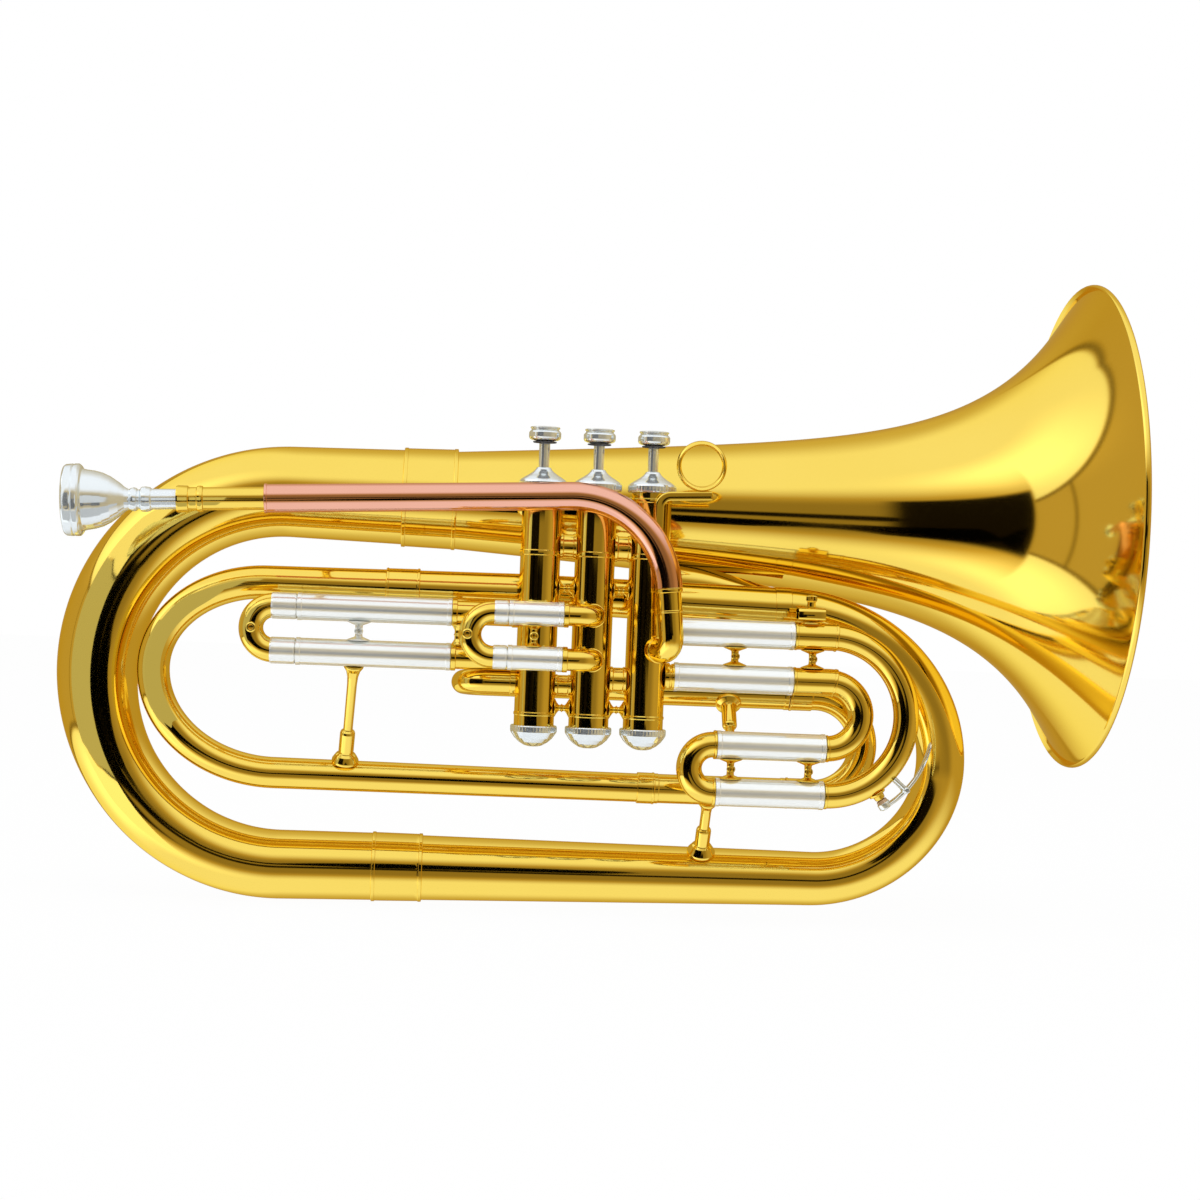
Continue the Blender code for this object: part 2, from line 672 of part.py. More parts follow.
def third_bow(name, upper_z, lower_z, origin):
    """The upper leg is thin up to its sleeve, the lower leg up to its own, longer sleeve."""
    upper_mouth = THIRD_UPPER_END + GAP
    lower_mouth = THIRD_LOWER_END + GAP
    radius = (upper_z - lower_z) / 2
    centre = Vector((THIRD_BOW_X, VALVE_Y, (upper_z + lower_z) / 2))
    bow = arc(centre, centre + Vector((0, 0, radius)), Vector((0, 1, 0)), pi)
    upper_end = Vector((upper_mouth - THIRD_LEG_DEPTH, VALVE_Y, upper_z))
    lower_end = Vector((lower_mouth - THIRD_LEG_DEPTH, VALVE_Y, lower_z))
    path = [upper_end] + bow + [lower_end]
    total = path_length(path)
    outer = [
        (0.0, LEG_RADIUS), (THIRD_LEG_DEPTH, LEG_RADIUS), (THIRD_LEG_DEPTH, BOW_RADIUS),
        (total - THIRD_LEG_DEPTH, BOW_RADIUS), (total - THIRD_LEG_DEPTH, LEG_RADIUS), (total, LEG_RADIUS),
    ]
    return make_object(name, tube_shape(path, outer, even(total, AIR_RADIUS)), BRASS, origin)


def build_return_loop(upper_z, lower_z):
    centre = Vector((THIRD_LOWER_START, VALVE_Y, (upper_z + lower_z) / 2))
    top = centre + Vector((0, 0, (upper_z - lower_z) / 2))
    bow = arc(centre, top, Vector((0, 1, 0)), -pi)
    path = [Vector((THIRD_LOWER_END, VALVE_Y, upper_z))] + bow
    path.append(Vector((THIRD_LOWER_END, VALVE_Y, lower_z)))
    total = path_length(path)
    straight = THIRD_LOWER_END - THIRD_LOWER_START - 2.0
    outer = slide_profile(path, straight, SLEEVE_RADIUS, BOW_RADIUS)
    inner = slide_profile(path, straight, SLEEVE_BORE, AIR_RADIUS)
    loop = make_object("third_sleeve_loop", tube_shape(path, outer, inner), NICKEL)
    for x in (THIRD_FIXED_BRACE_X, THIRD_BRACE_X):
        fuse(loop, sleeve_post("loop_brace_%d" % x, x, VALVE_Y, upper_z, lower_z, 0))


def key_point(angle, reach):
    """A point round the third slide's outer bow, by angle and distance from the bow centre."""
    middle = (THIRD_Z[0] + THIRD_Z[3]) / 2
    return Vector((THIRD_BOW_X + reach * cos(angle), VALVE_Y, middle + reach * sin(angle)))


def water_nipple():
    bow = (THIRD_Z[0] - THIRD_Z[3]) / 2
    start = key_point(KEY_NIPPLE_ANGLE, bow + BOW_RADIUS - 1.7)
    end = key_point(KEY_NIPPLE_ANGLE, bow + BOW_RADIUS + NIPPLE_HEIGHT)
    return rod("water_nipple", start, end, 3.4, BRASS, 10, 2.6)


def build_water_key():
    """Saddle with two ears, and a lever from the cork over the pivot to the touch."""
    bow = (THIRD_Z[0] - THIRD_Z[3]) / 2
    pivot = key_point(KEY_PIVOT_ANGLE, KEY_ARC)
    foot = key_point(KEY_PIVOT_ANGLE, bow + BOW_RADIUS + GAP)
    saddle = rod("water_key_saddle", foot, key_point(KEY_PIVOT_ANGLE, KEY_ARC - 3.0), 3.2, SILVER, 8)
    for side in (-1, 1):
        aside = Vector((0, side * KEY_EAR_Y, 0))
        low = (foot + pivot) / 2 - (pivot - foot) * 0.2
        fuse(saddle, rod("key_ear_%d" % (side + 2), low + aside, pivot + aside, 1.4, SILVER, 8))
        eye = rod("key_eye_%d" % (side + 2), pivot + aside * 0.7, pivot + aside * 1.3, 2.6, SILVER, 12)
        fuse(saddle, eye)
    cut(saddle, rod("key_eye_bore", pivot - Vector((0, 9, 0)), pivot + Vector((0, 9, 0)), 1.3, SILVER))
    carry("water_key_axis", pivot, [build_key_lever(pivot)])


def build_key_lever(pivot):
    span = KEY_TOUCH_ANGLE - KEY_NIPPLE_ANGLE
    path = [key_point(KEY_NIPPLE_ANGLE + span * k / 6, KEY_ARC) for k in range(7)]
    total = path_length(path)
    outer = [(0, 2.2), (total * 0.3, 1.5), (total * 0.7, 1.5), (total * 0.72, 3.2), (total, 3.2)]
    shape = tube_shape(path, outer, None, 8)
    key = make_object("water_key", shape, SILVER, pivot)
    pad = (THIRD_Z[0] - THIRD_Z[3]) / 2 + BOW_RADIUS + NIPPLE_HEIGHT + GAP
    seat = key_point(KEY_NIPPLE_ANGLE, pad)
    fuse(key, rod("key_pad", seat, key_point(KEY_NIPPLE_ANGLE, KEY_ARC), 3.2, SILVER))
    half = Vector((0, KEY_PIN_HALF, 0))
    fuse(key, rod("key_pin", pivot - half, pivot + half, KEY_PIN_RADIUS, SILVER))
    return key


def build_lyre_box():
    """A square box for a music lyre's stem, on a saddle over the slide, with its thumb screw."""
    base = THIRD_Z[0] + BOW_RADIUS + GAP
    half = LYRE_SIZE[2] / 2
    centre = Vector((LYRE_X, VALVE_Y, base + half + 0.8))
    holder = make_object("lyre_box", box_shape(LYRE_SIZE, centre), SILVER, centre)
    foot = make_object("lyre_foot", box_shape(LYRE_FOOT, centre - Vector((0, 0, half - 0.2))), SILVER)
    slot = make_object("lyre_slot", box_shape(LYRE_SLOT, centre), SILVER)
    fuse(holder, foot)
    cut(holder, slot)
    low, high = LYRE_SCREW_RADII
    top = centre + Vector((0, 0, half + GAP))
    screw = rod("lyre_screw", top, top + Vector((0, 0, LYRE_SCREW_HEIGHT)), low, STEEL, 12, high)
    return [holder, screw]


def build_tuning_slide():
    centre = TUNING_BOW_X
    mouth = TUNING_SLEEVE_RIGHT + GAP
    path = slide_path(BRANCH_Y, TUNING_UPPER_Z, TUNING_LOWER_Z, mouth - TUNING_LEG_DEPTH, centre, 1)
    origin = (mouth, BRANCH_Y, (TUNING_UPPER_Z + TUNING_LOWER_Z) / 2)
    moving = slide("tuning_slide", path, TUNING_LEG_DEPTH, TUNING_LEG_RADIUS, TUNING_BOW_RADIUS,
                   TUNING_LEG_RADIUS - 0.6, BRASS, origin)
    carry("tuning_slide_axis", origin, [moving])
    for name, height in (("upper", TUNING_UPPER_Z), ("lower", TUNING_LOWER_Z)):
        sleeve("tuning_sleeve_" + name, (TUNING_SLEEVE_LEFT, BRANCH_Y, height),
               (TUNING_SLEEVE_RIGHT, BRANCH_Y, height), TUNING_SLEEVE_RADIUS, TUNING_SLEEVE_BORE)


def build_exit_crook():
    """From valve 1 to the left, round to the back and right to the tuning slide."""
    corners = [
        (valve_x(1) - CASING_RADIUS - GAP, CROOK_Y, CROOK_Z),
        (CROOK_LEFT_X, CROOK_Y, CROOK_Z),
        (CROOK_LEFT_X, BRANCH_Y, TUNING_UPPER_Z),
        (TUNING_SLEEVE_LEFT - GAP, BRANCH_Y, TUNING_UPPER_Z),
    ]
    path = rounded(corners, CROOK_BEND)
    pipe("exit_crook", path, even(path_length(path), CROOK_RADIUS), THIN_WALL, BRASS)


def oval_bow(top, bottom, far_x, middle_z, steps=12):
    """Two quarter ellipses from the top point round the far side to the bottom point."""
    points = []
    for k in range(steps + 1):
        angle = pi * k / steps
        near, height = (top, top[2]) if 2 * k <= steps else (bottom, 2 * middle_z - bottom[2])
        points.append(Vector((
            near[0] + (far_x - near[0]) * sin(angle),
            top[1] + (bottom[1] - top[1]) * (1 - cos(angle)) / 2,
            middle_z + (height - middle_z) * cos(angle),
        )))
    return points


def build_inner_branch():
    """From the tuning slide left, round the small loop and right above it, dipping behind valve 3."""
    top = (INNER_TOP_BEND_X, BRANCH_Y, INNER_TOP_Z)
    bottom = (INNER_BOTTOM_BEND_X, BRANCH_Y, INNER_BOTTOM_Z)
    path = [Vector((TUNING_SLEEVE_LEFT - GAP, BRANCH_Y, TUNING_LOWER_Z))]
    path += reversed(oval_bow(top, bottom, INNER_LEFT_X, INNER_MIDDLE_Z))
    path.append(Vector((INNER_DIP_X, BRANCH_Y, INNER_TOP_Z)))
    path.append(Vector((JOIN_X, BRANCH_Y, JOIN_Z)))
    total = path_length(path)
    outer = [(0, INNER_START_RADIUS), (total * 0.58, INNER_MIDDLE_RADIUS), (total, INNER_END_RADIUS)]
    pipe("inner_branch", path, outer, THIN_WALL, BRASS)


def build_right_bow():
    """The big bow round the right end, stepping back from the branch layer to the bell layer."""
    top = (RIGHT_TOP_BEND_X, BRANCH_Y, JOIN_Z)
    bottom = (RIGHT_BOTTOM_BEND_X, BELL_Y, BOTTOM_START_Z)
    path = [Vector((JOIN_X + JOIN_GAP, BRANCH_Y, JOIN_Z))]
    path += oval_bow(top, bottom, RIGHT_X, RIGHT_MIDDLE_Z)
    path.append(Vector((BOTTOM_START_X + GAP, BELL_Y, BOTTOM_START_Z)))
    total = path_length(path)
    outer = even(total, INNER_END_RADIUS, RIGHT_END_RADIUS)
    bow = pipe("right_bow", path, outer, THIN_WALL, BRASS, 14)
    fuse(bow, bell_brace())


def bell_brace():
    """A short post that stands on the right bow's start, just clear of the bell."""
    foot = Vector((BELL_BRACE_X, BRANCH_Y, JOIN_Z))
    axis = Vector((BELL_BRACE_X, BELL_Y, BELL_Z))
    way = (axis - foot).normalized()
    reach = (axis - foot).length - bell_radius(BELL_BRACE_X) - 1.0
    start = foot + way * (INNER_END_RADIUS - 0.6)
    return rod("bell_brace", start, foot + way * reach, BELL_BRACE_RADIUS, BRASS)


def build_bottom_branch():
    path = [Vector((BOTTOM_START_X, BELL_Y, BOTTOM_START_Z)), Vector((BOTTOM_END_X, BELL_Y, BOTTOM_END_Z))]
    total = path_length(path)
    collar = total - BOTTOM_COLLAR
    outer = [
        (0, RIGHT_END_RADIUS), (collar, BOTTOM_END_RADIUS), (collar, BOTTOM_COLLAR_RADIUS),
        (total, BOTTOM_COLLAR_RADIUS),
    ]
    inner = [(0, RIGHT_END_RADIUS - WALL), (total, BOTTOM_END_RADIUS - WALL)]
    make_object("bottom_branch", tube_shape(path, outer, inner, 16), BRASS)


def build_bell_bow():
    """The large bow round the left end, with the collar that takes the bell."""
    top = (BELL_BOW_BEND_X, BELL_Y, BELL_BOW_TOP_Z)
    bottom = (BELL_BOW_BEND_X, BELL_Y, BELL_BOW_BOTTOM_Z)
    path = [Vector((BOTTOM_END_X - GAP, BELL_Y, BOTTOM_END_Z))]
    path += reversed(oval_bow(top, bottom, BELL_BOW_LEFT_X, BELL_BOW_MIDDLE_Z))
    path.append(Vector((BELL_LEFT_X - GAP, BELL_Y, (BELL_BOW_TOP_Z + BELL_Z) / 2)))
    total = path_length(path)
    collar = total - (BELL_LEFT_X - BELL_FERRULE_LEFT)
    outer = [
        (0, BELL_BOW_START_RADIUS), (total * 0.11, BELL_BOW_LOW_RADIUS), (total * 0.81, BELL_BOW_HIGH_RADIUS),
        (collar, BELL_BOW_END_RADIUS), (collar, BELL_COLLAR_RADIUS), (total, BELL_COLLAR_RADIUS),
    ]
    inner = [
        (0, BELL_BOW_START_RADIUS - WALL), (total * 0.11, BELL_BOW_LOW_RADIUS - WALL),
        (total * 0.81, BELL_BOW_HIGH_RADIUS - WALL), (total, BELL_BOW_END_RADIUS - WALL),
    ]
    make_object("bell_bow", tube_shape(path, outer, inner, 18), BRASS)


def bell_radius(x):
    """Radius of the bell at x: a straight taper and an exponential flare that ends at the rim."""
    taper = BELL_THROAT_RADIUS + BELL_TAPER * (x - BELL_LEFT_X)
    at_rim = BELL_THROAT_RADIUS + BELL_TAPER * (BELL_RIM_X - BELL_LEFT_X)
    return taper + (BELL_RIM_RADIUS - at_rim) * exp((x - BELL_RIM_X) / BELL_FLARE_LENGTH)


def build_bell():
    """The bell with its rolled rim, flat in front."""
    stations = [0, 60, 120, 170, 210, 245, 272, 292, 308, 322, 334, 344, 352, 358, 361]
    length = BELL_RIM_X - BELL_LEFT_X
    outer = [(s, bell_radius(BELL_LEFT_X + s)) for s in stations]
    rim = length - BELL_LIP_DEPTH
    outer = [p for p in outer if p[0] < rim - 1.0]
    neck = bell_radius(BELL_RIM_X - BELL_LIP_DEPTH)
    outer += [(rim, neck - 0.2), (rim + 0.8, BELL_RIM_RADIUS), (length, BELL_RIM_RADIUS)]
    inner = [(s, r - WALL - 0.02 * (r - BELL_THROAT_RADIUS)) for s, r in outer[:-2]]
    inner.append((length, BELL_RIM_RADIUS - BELL_LIP_WALL))
    path = [Vector((BELL_LEFT_X, BELL_Y, BELL_Z)), Vector((BELL_RIM_X, BELL_Y, BELL_Z))]
    make_object("bell", tube_shape(path, outer, inner, 28), BRASS)


def on_leadpipe(distance):
    """A point on the leadpipe's axis, by distance from the mouthpiece rim."""
    return LEADPIPE_START + leadpipe_way() * distance


def leadpipe_way():
    return Vector((1, 0, LEADPIPE_SLOPE)).normalized()


def build_leadpipe():
    start = on_leadpipe(RECEIVER_START + RECEIVER_LENGTH + GAP)
    fall = (ELBOW_CORNER - LEADPIPE_CORNER).normalized()
    stop = LEADPIPE_CORNER + fall * ((LEADPIPE_CORNER.z - ELBOW_TOP_Z) / -fall.z)
    path = rounded([start, LEADPIPE_CORNER, stop], LEADPIPE_BEND)
    pipe("leadpipe", path, even(path_length(path), LEADPIPE_RADIUS), WALL, COPPER)
    build_elbow(stop + fall * GAP)


def build_elbow(start):
    """Down from the leadpipe and back into the front of valve 3."""
    valve = Vector((valve_x(3), VALVE_Y, ELBOW_CORNER.z))
    end = valve + (ELBOW_CORNER - valve).normalized() * (CASING_RADIUS + GAP)
    path = rounded([start, ELBOW_CORNER, end], ELBOW_BEND)
    pipe("leadpipe_elbow", path, even(path_length(path), ELBOW_RADIUS), THIN_WALL, BRASS)


def build_receiver():
    start = on_leadpipe(RECEIVER_START)
    end = on_leadpipe(RECEIVER_START + RECEIVER_LENGTH)
    outer = [
        (0, 7.1), (6.4, 7.1), (6.4, 6.3), (10.4, 6.3), (10.4, 7.0), (13.4, 7.0), (13.4, 6.2),
        (RECEIVER_LENGTH, 6.2),
    ]
    inner = [(0, SHANK_RADIUS + GAP), (22.0, SHANK_RADIUS - 0.4), (RECEIVER_LENGTH, SHANK_RADIUS - 0.4)]
    make_object("mouthpiece_receiver", tube_shape([start, end], outer, inner, 14), BRASS)


def build_mouthpiece():
    """Rim, cup, throat and tapered shank; the cup is open toward the player."""
    tip = RECEIVER_START + SHANK_DEPTH
    outer = [
        (0.0, 16.6), (0.7, 18.6), (2.4, MOUTHPIECE_RIM_RADIUS), (9.6, MOUTHPIECE_RIM_RADIUS), (11.6, 16.6),
        (17.5, 15.6), (21.8, 14.3), (26.0, 12.2), (30.2, 9.2), (34.6, 5.6), (36.4, 6.3), (39.4, 6.3),
        (40.2, 5.2), (41.4, 5.2), (42.2, 6.7), (46.0, 6.7), (47.4, 5.6), (RECEIVER_START, SHANK_RADIUS),
        (tip, SHANK_RADIUS - 0.6),
    ]
    inner = [
        (0.0, 14.2), (1.2, 13.0), (8.0, 12.2), (18.0, 9.0), (26.0, 4.4), (32.0, 2.6),
        (tip, SHANK_RADIUS - 1.8),
    ]
    path = [on_leadpipe(0), on_leadpipe(tip)]
    piece = make_object("mouthpiece", tube_shape(path, outer, inner, 20), SILVER, on_leadpipe(RECEIVER_START))
    carry("mouthpiece_axis", on_leadpipe(RECEIVER_START), [piece])


def build_finger_hook():
    """The ring stands on a strap that bends down the front of valve 3."""
    half = RING_DEPTH / 2
    ring = turned([(RING_OUTER, -half), (RING_OUTER, half), (RING_INNER, half), (RING_INNER, -half)], 22)
    bmesh.ops.rotate(ring, matrix=Matrix.Rotation(pi / 2, 3, "X"), verts=ring.verts)
    bmesh.ops.translate(ring, vec=RING_CENTRE, verts=ring.verts)
    hook = make_object("finger_hook", ring, SILVER)
    tip, bend = [(x, RING_CENTRE.y, z) for x, z in zip(STRAP_X, STRAP_TOP_Z)]
    path = rounded([tip, bend, (bend[0], RING_CENTRE.y, STRAP_FOOT_Z)], STRAP_BEND)
    strap = tube_shape(path, even(path_length(path), STRAP_RADIUS), None, 8)
    fuse(hook, make_object("hook_strap", strap, SILVER))


def build_struts():
    long_profile = [(0, 4.0), (0.12, 2.8), (0.7, 2.7), (0.72, 4.2), (0.92, 4.2), (1.0, 6.0)]
    strut("long_strut", (LONG_STRUT_X[0], VALVE_Y, FIRST_LOWER_Z), SLEEVE_RADIUS,
          (LONG_STRUT_X[1], BRANCH_Y, INNER_BOTTOM_Z), LONG_STRUT_SEAT, long_profile, NICKEL)
    short_profile = [(0, 5.0), (0.1, 3.0), (0.55, 3.0), (0.57, 4.0), (0.9, 4.0), (1.0, 6.0)]
    strut("short_strut", (SHORT_STRUT_X[0], BRANCH_Y, TUNING_LOWER_Z), TUNING_SLEEVE_RADIUS,
          (SHORT_STRUT_X[1], BELL_Y, BOTTOM_START_Z), SHORT_STRUT_SEAT, short_profile, NICKEL)
    post_profile = [(0, 7.0), (0.12, 6.0), (0.2, 4.1), (0.75, 4.1), (0.77, 2.4), (1.0, 2.4)]
    strut("slide_post", (POST_X[0], BRANCH_Y, TUNING_UPPER_Z), TUNING_SLEEVE_RADIUS,
          (POST_X[1], VALVE_Y, THIRD_Z[2]), SLEEVE_RADIUS, post_profile, NICKEL)
    beneath = LEADPIPE_START.z + (LEADPIPE_BRACE_X - LEADPIPE_START.x) * LEADPIPE_SLOPE
    thin_profile = [(0, 4.0), (0.1, 2.4), (0.9, 2.4), (1.0, 4.6)]
    strut("leadpipe_brace", (LEADPIPE_BRACE_X, LEADPIPE_Y, beneath), LEADPIPE_RADIUS,
          (LEADPIPE_BRACE_X, BELL_Y, BELL_BOW_TOP_Z), BELL_BOW_HIGH_RADIUS + 0.6, thin_profile, NICKEL)


def build_all():
    clear_scene()
    build_mouthpiece()
    build_receiver()
    build_leadpipe()
    for number in (1, 2, 3):
        build_valve(number)
    build_knuckle("knuckle_12_upper", 1, KNUCKLE_UPPER_Z, KNUCKLE_RADIUS)
    build_knuckle("knuckle_23_upper", 2, KNUCKLE_UPPER_Z, KNUCKLE_RADIUS)
    build_knuckle("knuckle_12_lower", 1, KNUCKLE_LOWER_Z[0], KNUCKLE_THIN_RADIUS)
    build_knuckle("knuckle_23_lower", 2, KNUCKLE_LOWER_Z[1], KNUCKLE_RADIUS)
    build_first_slide()
    build_second_slide()
    build_third_slide()
    build_water_key()
    build_tuning_slide()
    build_exit_crook()
    build_inner_branch()
    build_right_bow()
    build_bottom_branch()
    build_bell_bow()
    build_bell()
    build_finger_hook()
    build_struts()


build_all()
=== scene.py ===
import math

import bpy
import numpy as np
from mathutils import Matrix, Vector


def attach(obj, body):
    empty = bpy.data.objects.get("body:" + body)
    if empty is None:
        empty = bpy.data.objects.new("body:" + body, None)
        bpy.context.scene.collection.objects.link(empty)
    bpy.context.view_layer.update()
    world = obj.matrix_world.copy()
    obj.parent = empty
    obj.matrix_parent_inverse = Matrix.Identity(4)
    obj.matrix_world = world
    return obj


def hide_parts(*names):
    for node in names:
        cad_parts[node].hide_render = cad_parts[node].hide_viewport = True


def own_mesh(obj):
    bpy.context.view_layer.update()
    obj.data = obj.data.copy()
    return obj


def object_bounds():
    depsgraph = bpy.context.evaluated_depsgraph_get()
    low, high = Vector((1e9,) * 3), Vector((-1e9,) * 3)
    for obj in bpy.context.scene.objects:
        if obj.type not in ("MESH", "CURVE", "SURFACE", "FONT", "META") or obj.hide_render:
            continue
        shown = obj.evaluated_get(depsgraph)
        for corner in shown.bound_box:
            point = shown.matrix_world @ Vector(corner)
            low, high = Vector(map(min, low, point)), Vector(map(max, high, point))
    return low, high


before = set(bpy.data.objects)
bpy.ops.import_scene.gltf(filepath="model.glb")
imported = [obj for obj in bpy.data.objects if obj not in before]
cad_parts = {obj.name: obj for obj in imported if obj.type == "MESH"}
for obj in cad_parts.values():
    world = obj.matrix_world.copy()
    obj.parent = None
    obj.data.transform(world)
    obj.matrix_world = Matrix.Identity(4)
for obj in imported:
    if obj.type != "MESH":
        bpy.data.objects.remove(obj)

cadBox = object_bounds()
mm = 0.001  # every size below is in millimetres, meshes are in metres
print("frame loaded,", len(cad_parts), "nodes")

# Layers of tubing from the leadpipe in front (-Y) to the bell behind
layers = dict(leadpipe=-22.0, secondSlide=-21.0, valves=0.0, branch=30.0, bell=60.0)
fixed = "body"


# Paths: arrays of points, one row each

def unit(v):
    v = np.asarray(v, float)
    return v / np.maximum(np.linalg.norm(v, axis=-1, keepdims=True), 1e-12)


def roundedPath(corners, bend, stepDegrees=3.0):
    # straight runs joined by circular arcs of one bend radius, cut short where a run is too short for it
    corners = [np.asarray(c, float) for c in corners]
    route = [corners[0][None]]
    for before, corner, after in zip(corners, corners[1:], corners[2:]):
        arriving, leaving = unit(corner - before), unit(after - corner)
        angle = math.acos(float(np.clip(arriving @ leaving, -1, 1)))
        if angle < 1e-4:
            route.append(corner[None])
            continue
        reach = 0.499 * min(np.linalg.norm(corner - before), np.linalg.norm(after - corner))
        if len(corners) == 3:
            reach *= 2
        radius = min(bend, reach / math.tan(angle / 2))
        inward = unit(leaving - arriving * (arriving @ leaving))
        start = corner - arriving * radius * math.tan(angle / 2)
        t = np.linspace(0, angle, max(3, int(math.degrees(angle) / stepDegrees) + 1))[:, None]
        route.append(start + arriving * radius * np.sin(t) + inward * radius * (1 - np.cos(t)))
    route.append(corners[-1][None])
    points = np.concatenate(route)
    keep = np.r_[True, np.linalg.norm(np.diff(points, axis=0), axis=1) > 1e-3]
    return points[keep]


def bowPath(start, end, out, stepDegrees=3.0):
    # a leg, a half circle round the far end and the other leg; out is the bow centre's x
    start, end = np.asarray(start, float), np.asarray(end, float)
    radius = (start[2] - end[2]) / 2
    facing = 1.0 if out > start[0] else -1.0
    t = np.linspace(0, math.pi, int(180 / stepDegrees) + 1)
    depth = start[1] + (end[1] - start[1]) * (1 - np.cos(t)) / 2
    middle = (start[2] + end[2]) / 2
    half = np.stack([out + facing * abs(radius) * np.sin(t), depth, middle + radius * np.cos(t)], 1)
    return np.concatenate([start[None], half, end[None]])


def ovalBow(top, bottom, farX, middleZ, stepDegrees=2.0):
    # two quarter ellipses from the top round the far side to the bottom: x by the sine, z by the cosine of the turn
    top, bottom = np.asarray(top, float), np.asarray(bottom, float)
    t = np.linspace(0, math.pi, int(180 / stepDegrees) + 1)
    nearX = np.where(t < math.pi / 2, top[0], bottom[0])
    height = np.where(t < math.pi / 2, top[2] - middleZ, middleZ - bottom[2])
    depth = top[1] + (bottom[1] - top[1]) * (1 - np.cos(t)) / 2
    return np.stack([nearX + (farX - nearX) * np.sin(t), depth, middleZ + height * np.cos(t)], 1)


def travelled(path):
    return np.r_[0, np.cumsum(np.linalg.norm(np.diff(path, axis=0), axis=1))]


def pathLength(path):
    return float(travelled(path)[-1])


# Surfaces: rings of points round a path or an axis

def pathFrames(path, stations, reference):
    # centre, side and lift at each station; side = tangent x reference, lift = side x tangent
    along = travelled(path)
    heading = unit(np.diff(path, axis=0))
    middle = (along[1:] + along[:-1]) / 2
    corner = np.r_[heading[:1], unit(heading[1:] + heading[:-1]), heading[-1:]]
    places = np.concatenate([along, middle])
    order = np.argsort(places, kind="stable")
    vectors = np.concatenate([corner, heading])[order]
    centre = np.stack([np.interp(stations, along, path[:, k]) for k in range(3)], 1)
    tangent = unit(np.stack([np.interp(stations, places[order], vectors[:, k]) for k in range(3)], 1))
    side = unit(np.cross(tangent, np.asarray(reference, float)[None]))
    return centre, side, np.cross(side, tangent)


def ringGrid(path, stations, radii, sides, reference, flute=None):
    # point(s, a) = centre(s) + radius(s) (side cos a + lift sin a), with an optional fluting of the radius
    centre, side, lift = pathFrames(path, stations, reference)
    angle = np.arange(sides) * 2 * math.pi / sides
    radius = np.repeat(np.asarray(radii, float)[:, None], sides, 1)
    if flute:
        count, depth, mask = flute
        radius = radius - depth * np.asarray(mask)[:, None] * (0.5 + 0.5 * np.cos(count * angle))[None]
    spoke = side[:, None] * np.cos(angle)[None, :, None] + lift[:, None] * np.sin(angle)[None, :, None]
    return centre[:, None] + spoke * radius[..., None]


def gridMesh(name, grid, closedLoop):
    # quads between neighbouring rings; the last ring joins the first when the outline is a closed loop
    rings, sides = grid.shape[:2]
    index = np.arange(rings * sides).reshape(rings, sides)
    lower = index if closedLoop else index[:-1]
    upper = np.roll(index, -1, 0) if closedLoop else index[1:]
    quads = np.stack([lower, np.roll(lower, -1, 1), np.roll(upper, -1, 1), upper], -1).reshape(-1, 4)
    mesh = bpy.data.meshes.new(name)
    mesh.from_pydata((grid.reshape(-1, 3) * mm).tolist(), [], quads.tolist())
    return mesh


def finishMesh(name, mesh, material, sharpDegrees=38):
    # poles are merged and every closed surface is turned to face out
    import bmesh
    shape = bmesh.new()
    shape.from_mesh(mesh)
    bmesh.ops.remove_doubles(shape, verts=shape.verts, dist=2e-6)
    bmesh.ops.dissolve_degenerate(shape, edges=shape.edges, dist=1e-7)
    bmesh.ops.recalc_face_normals(shape, faces=shape.faces)
    shape.to_mesh(mesh)
    shape.free()
    mesh.shade_smooth()
    mesh.set_sharp_from_angle(angle=math.radians(sharpDegrees))
    mesh.materials.append(material)
    piece = bpy.data.objects.new(name, mesh)
    bpy.context.scene.collection.objects.link(piece)
    return piece


def roundedOutline(points, bend=0.35):
    # the corners of a turned outline, each eased by a small arc
    flat = [(a, r, 0.0) for a, r in points]
    path = [np.asarray(flat[0], float)[None]]
    for before, corner, after in zip(flat, flat[1:], flat[2:]):
        before, corner, after = (np.asarray(p, float) for p in (before, corner, after))
        arriving, leaving = unit(corner - before), unit(after - corner)
        angle = math.acos(float(np.clip(arriving @ leaving, -1, 1)))
        reach = 0.45 * min(np.linalg.norm(corner - before), np.linalg.norm(after - corner))
        if angle < 0.05:
            path.append(corner[None])
            continue
        radius = min(bend, reach / math.tan(angle / 2))
        inward = unit(leaving - arriving * (arriving @ leaving))
        start = corner - arriving * radius * math.tan(angle / 2)
        t = np.linspace(0, angle, 5)[:, None]
        path.append(start + arriving * radius * np.sin(t) + inward * radius * (1 - np.cos(t)))
    path.append(np.asarray(flat[-1], float)[None])
    return np.concatenate(path)[:, :2]


def collarRadii(length, base, collars, spacing=2.0, ease=0.5):
    # base radius along the tube plus raised collars, each edge a quarter round
    stations = [np.linspace(0, length, max(2, int(length / spacing) + 1))]
    eased = np.linspace(0, 1, 6)
    for first, last, height in collars:
        stations += [first + ease * eased, last - ease * eased, [first - 0.01, last + 0.01]]
    stations = np.unique(np.clip(np.concatenate(stations), 0, length).round(4))
    radii = np.interp(stations, [d for d, r in base], [r for d, r in base])
    for first, last, height in collars:
        rise = np.clip(np.minimum(stations - first, last - stations) / ease, 0, 1)
        radii = radii + height * np.sqrt(np.clip(1 - (1 - rise) ** 2, 0, 1)) * ((stations >= first) & (stations <= last))
    return stations, radii


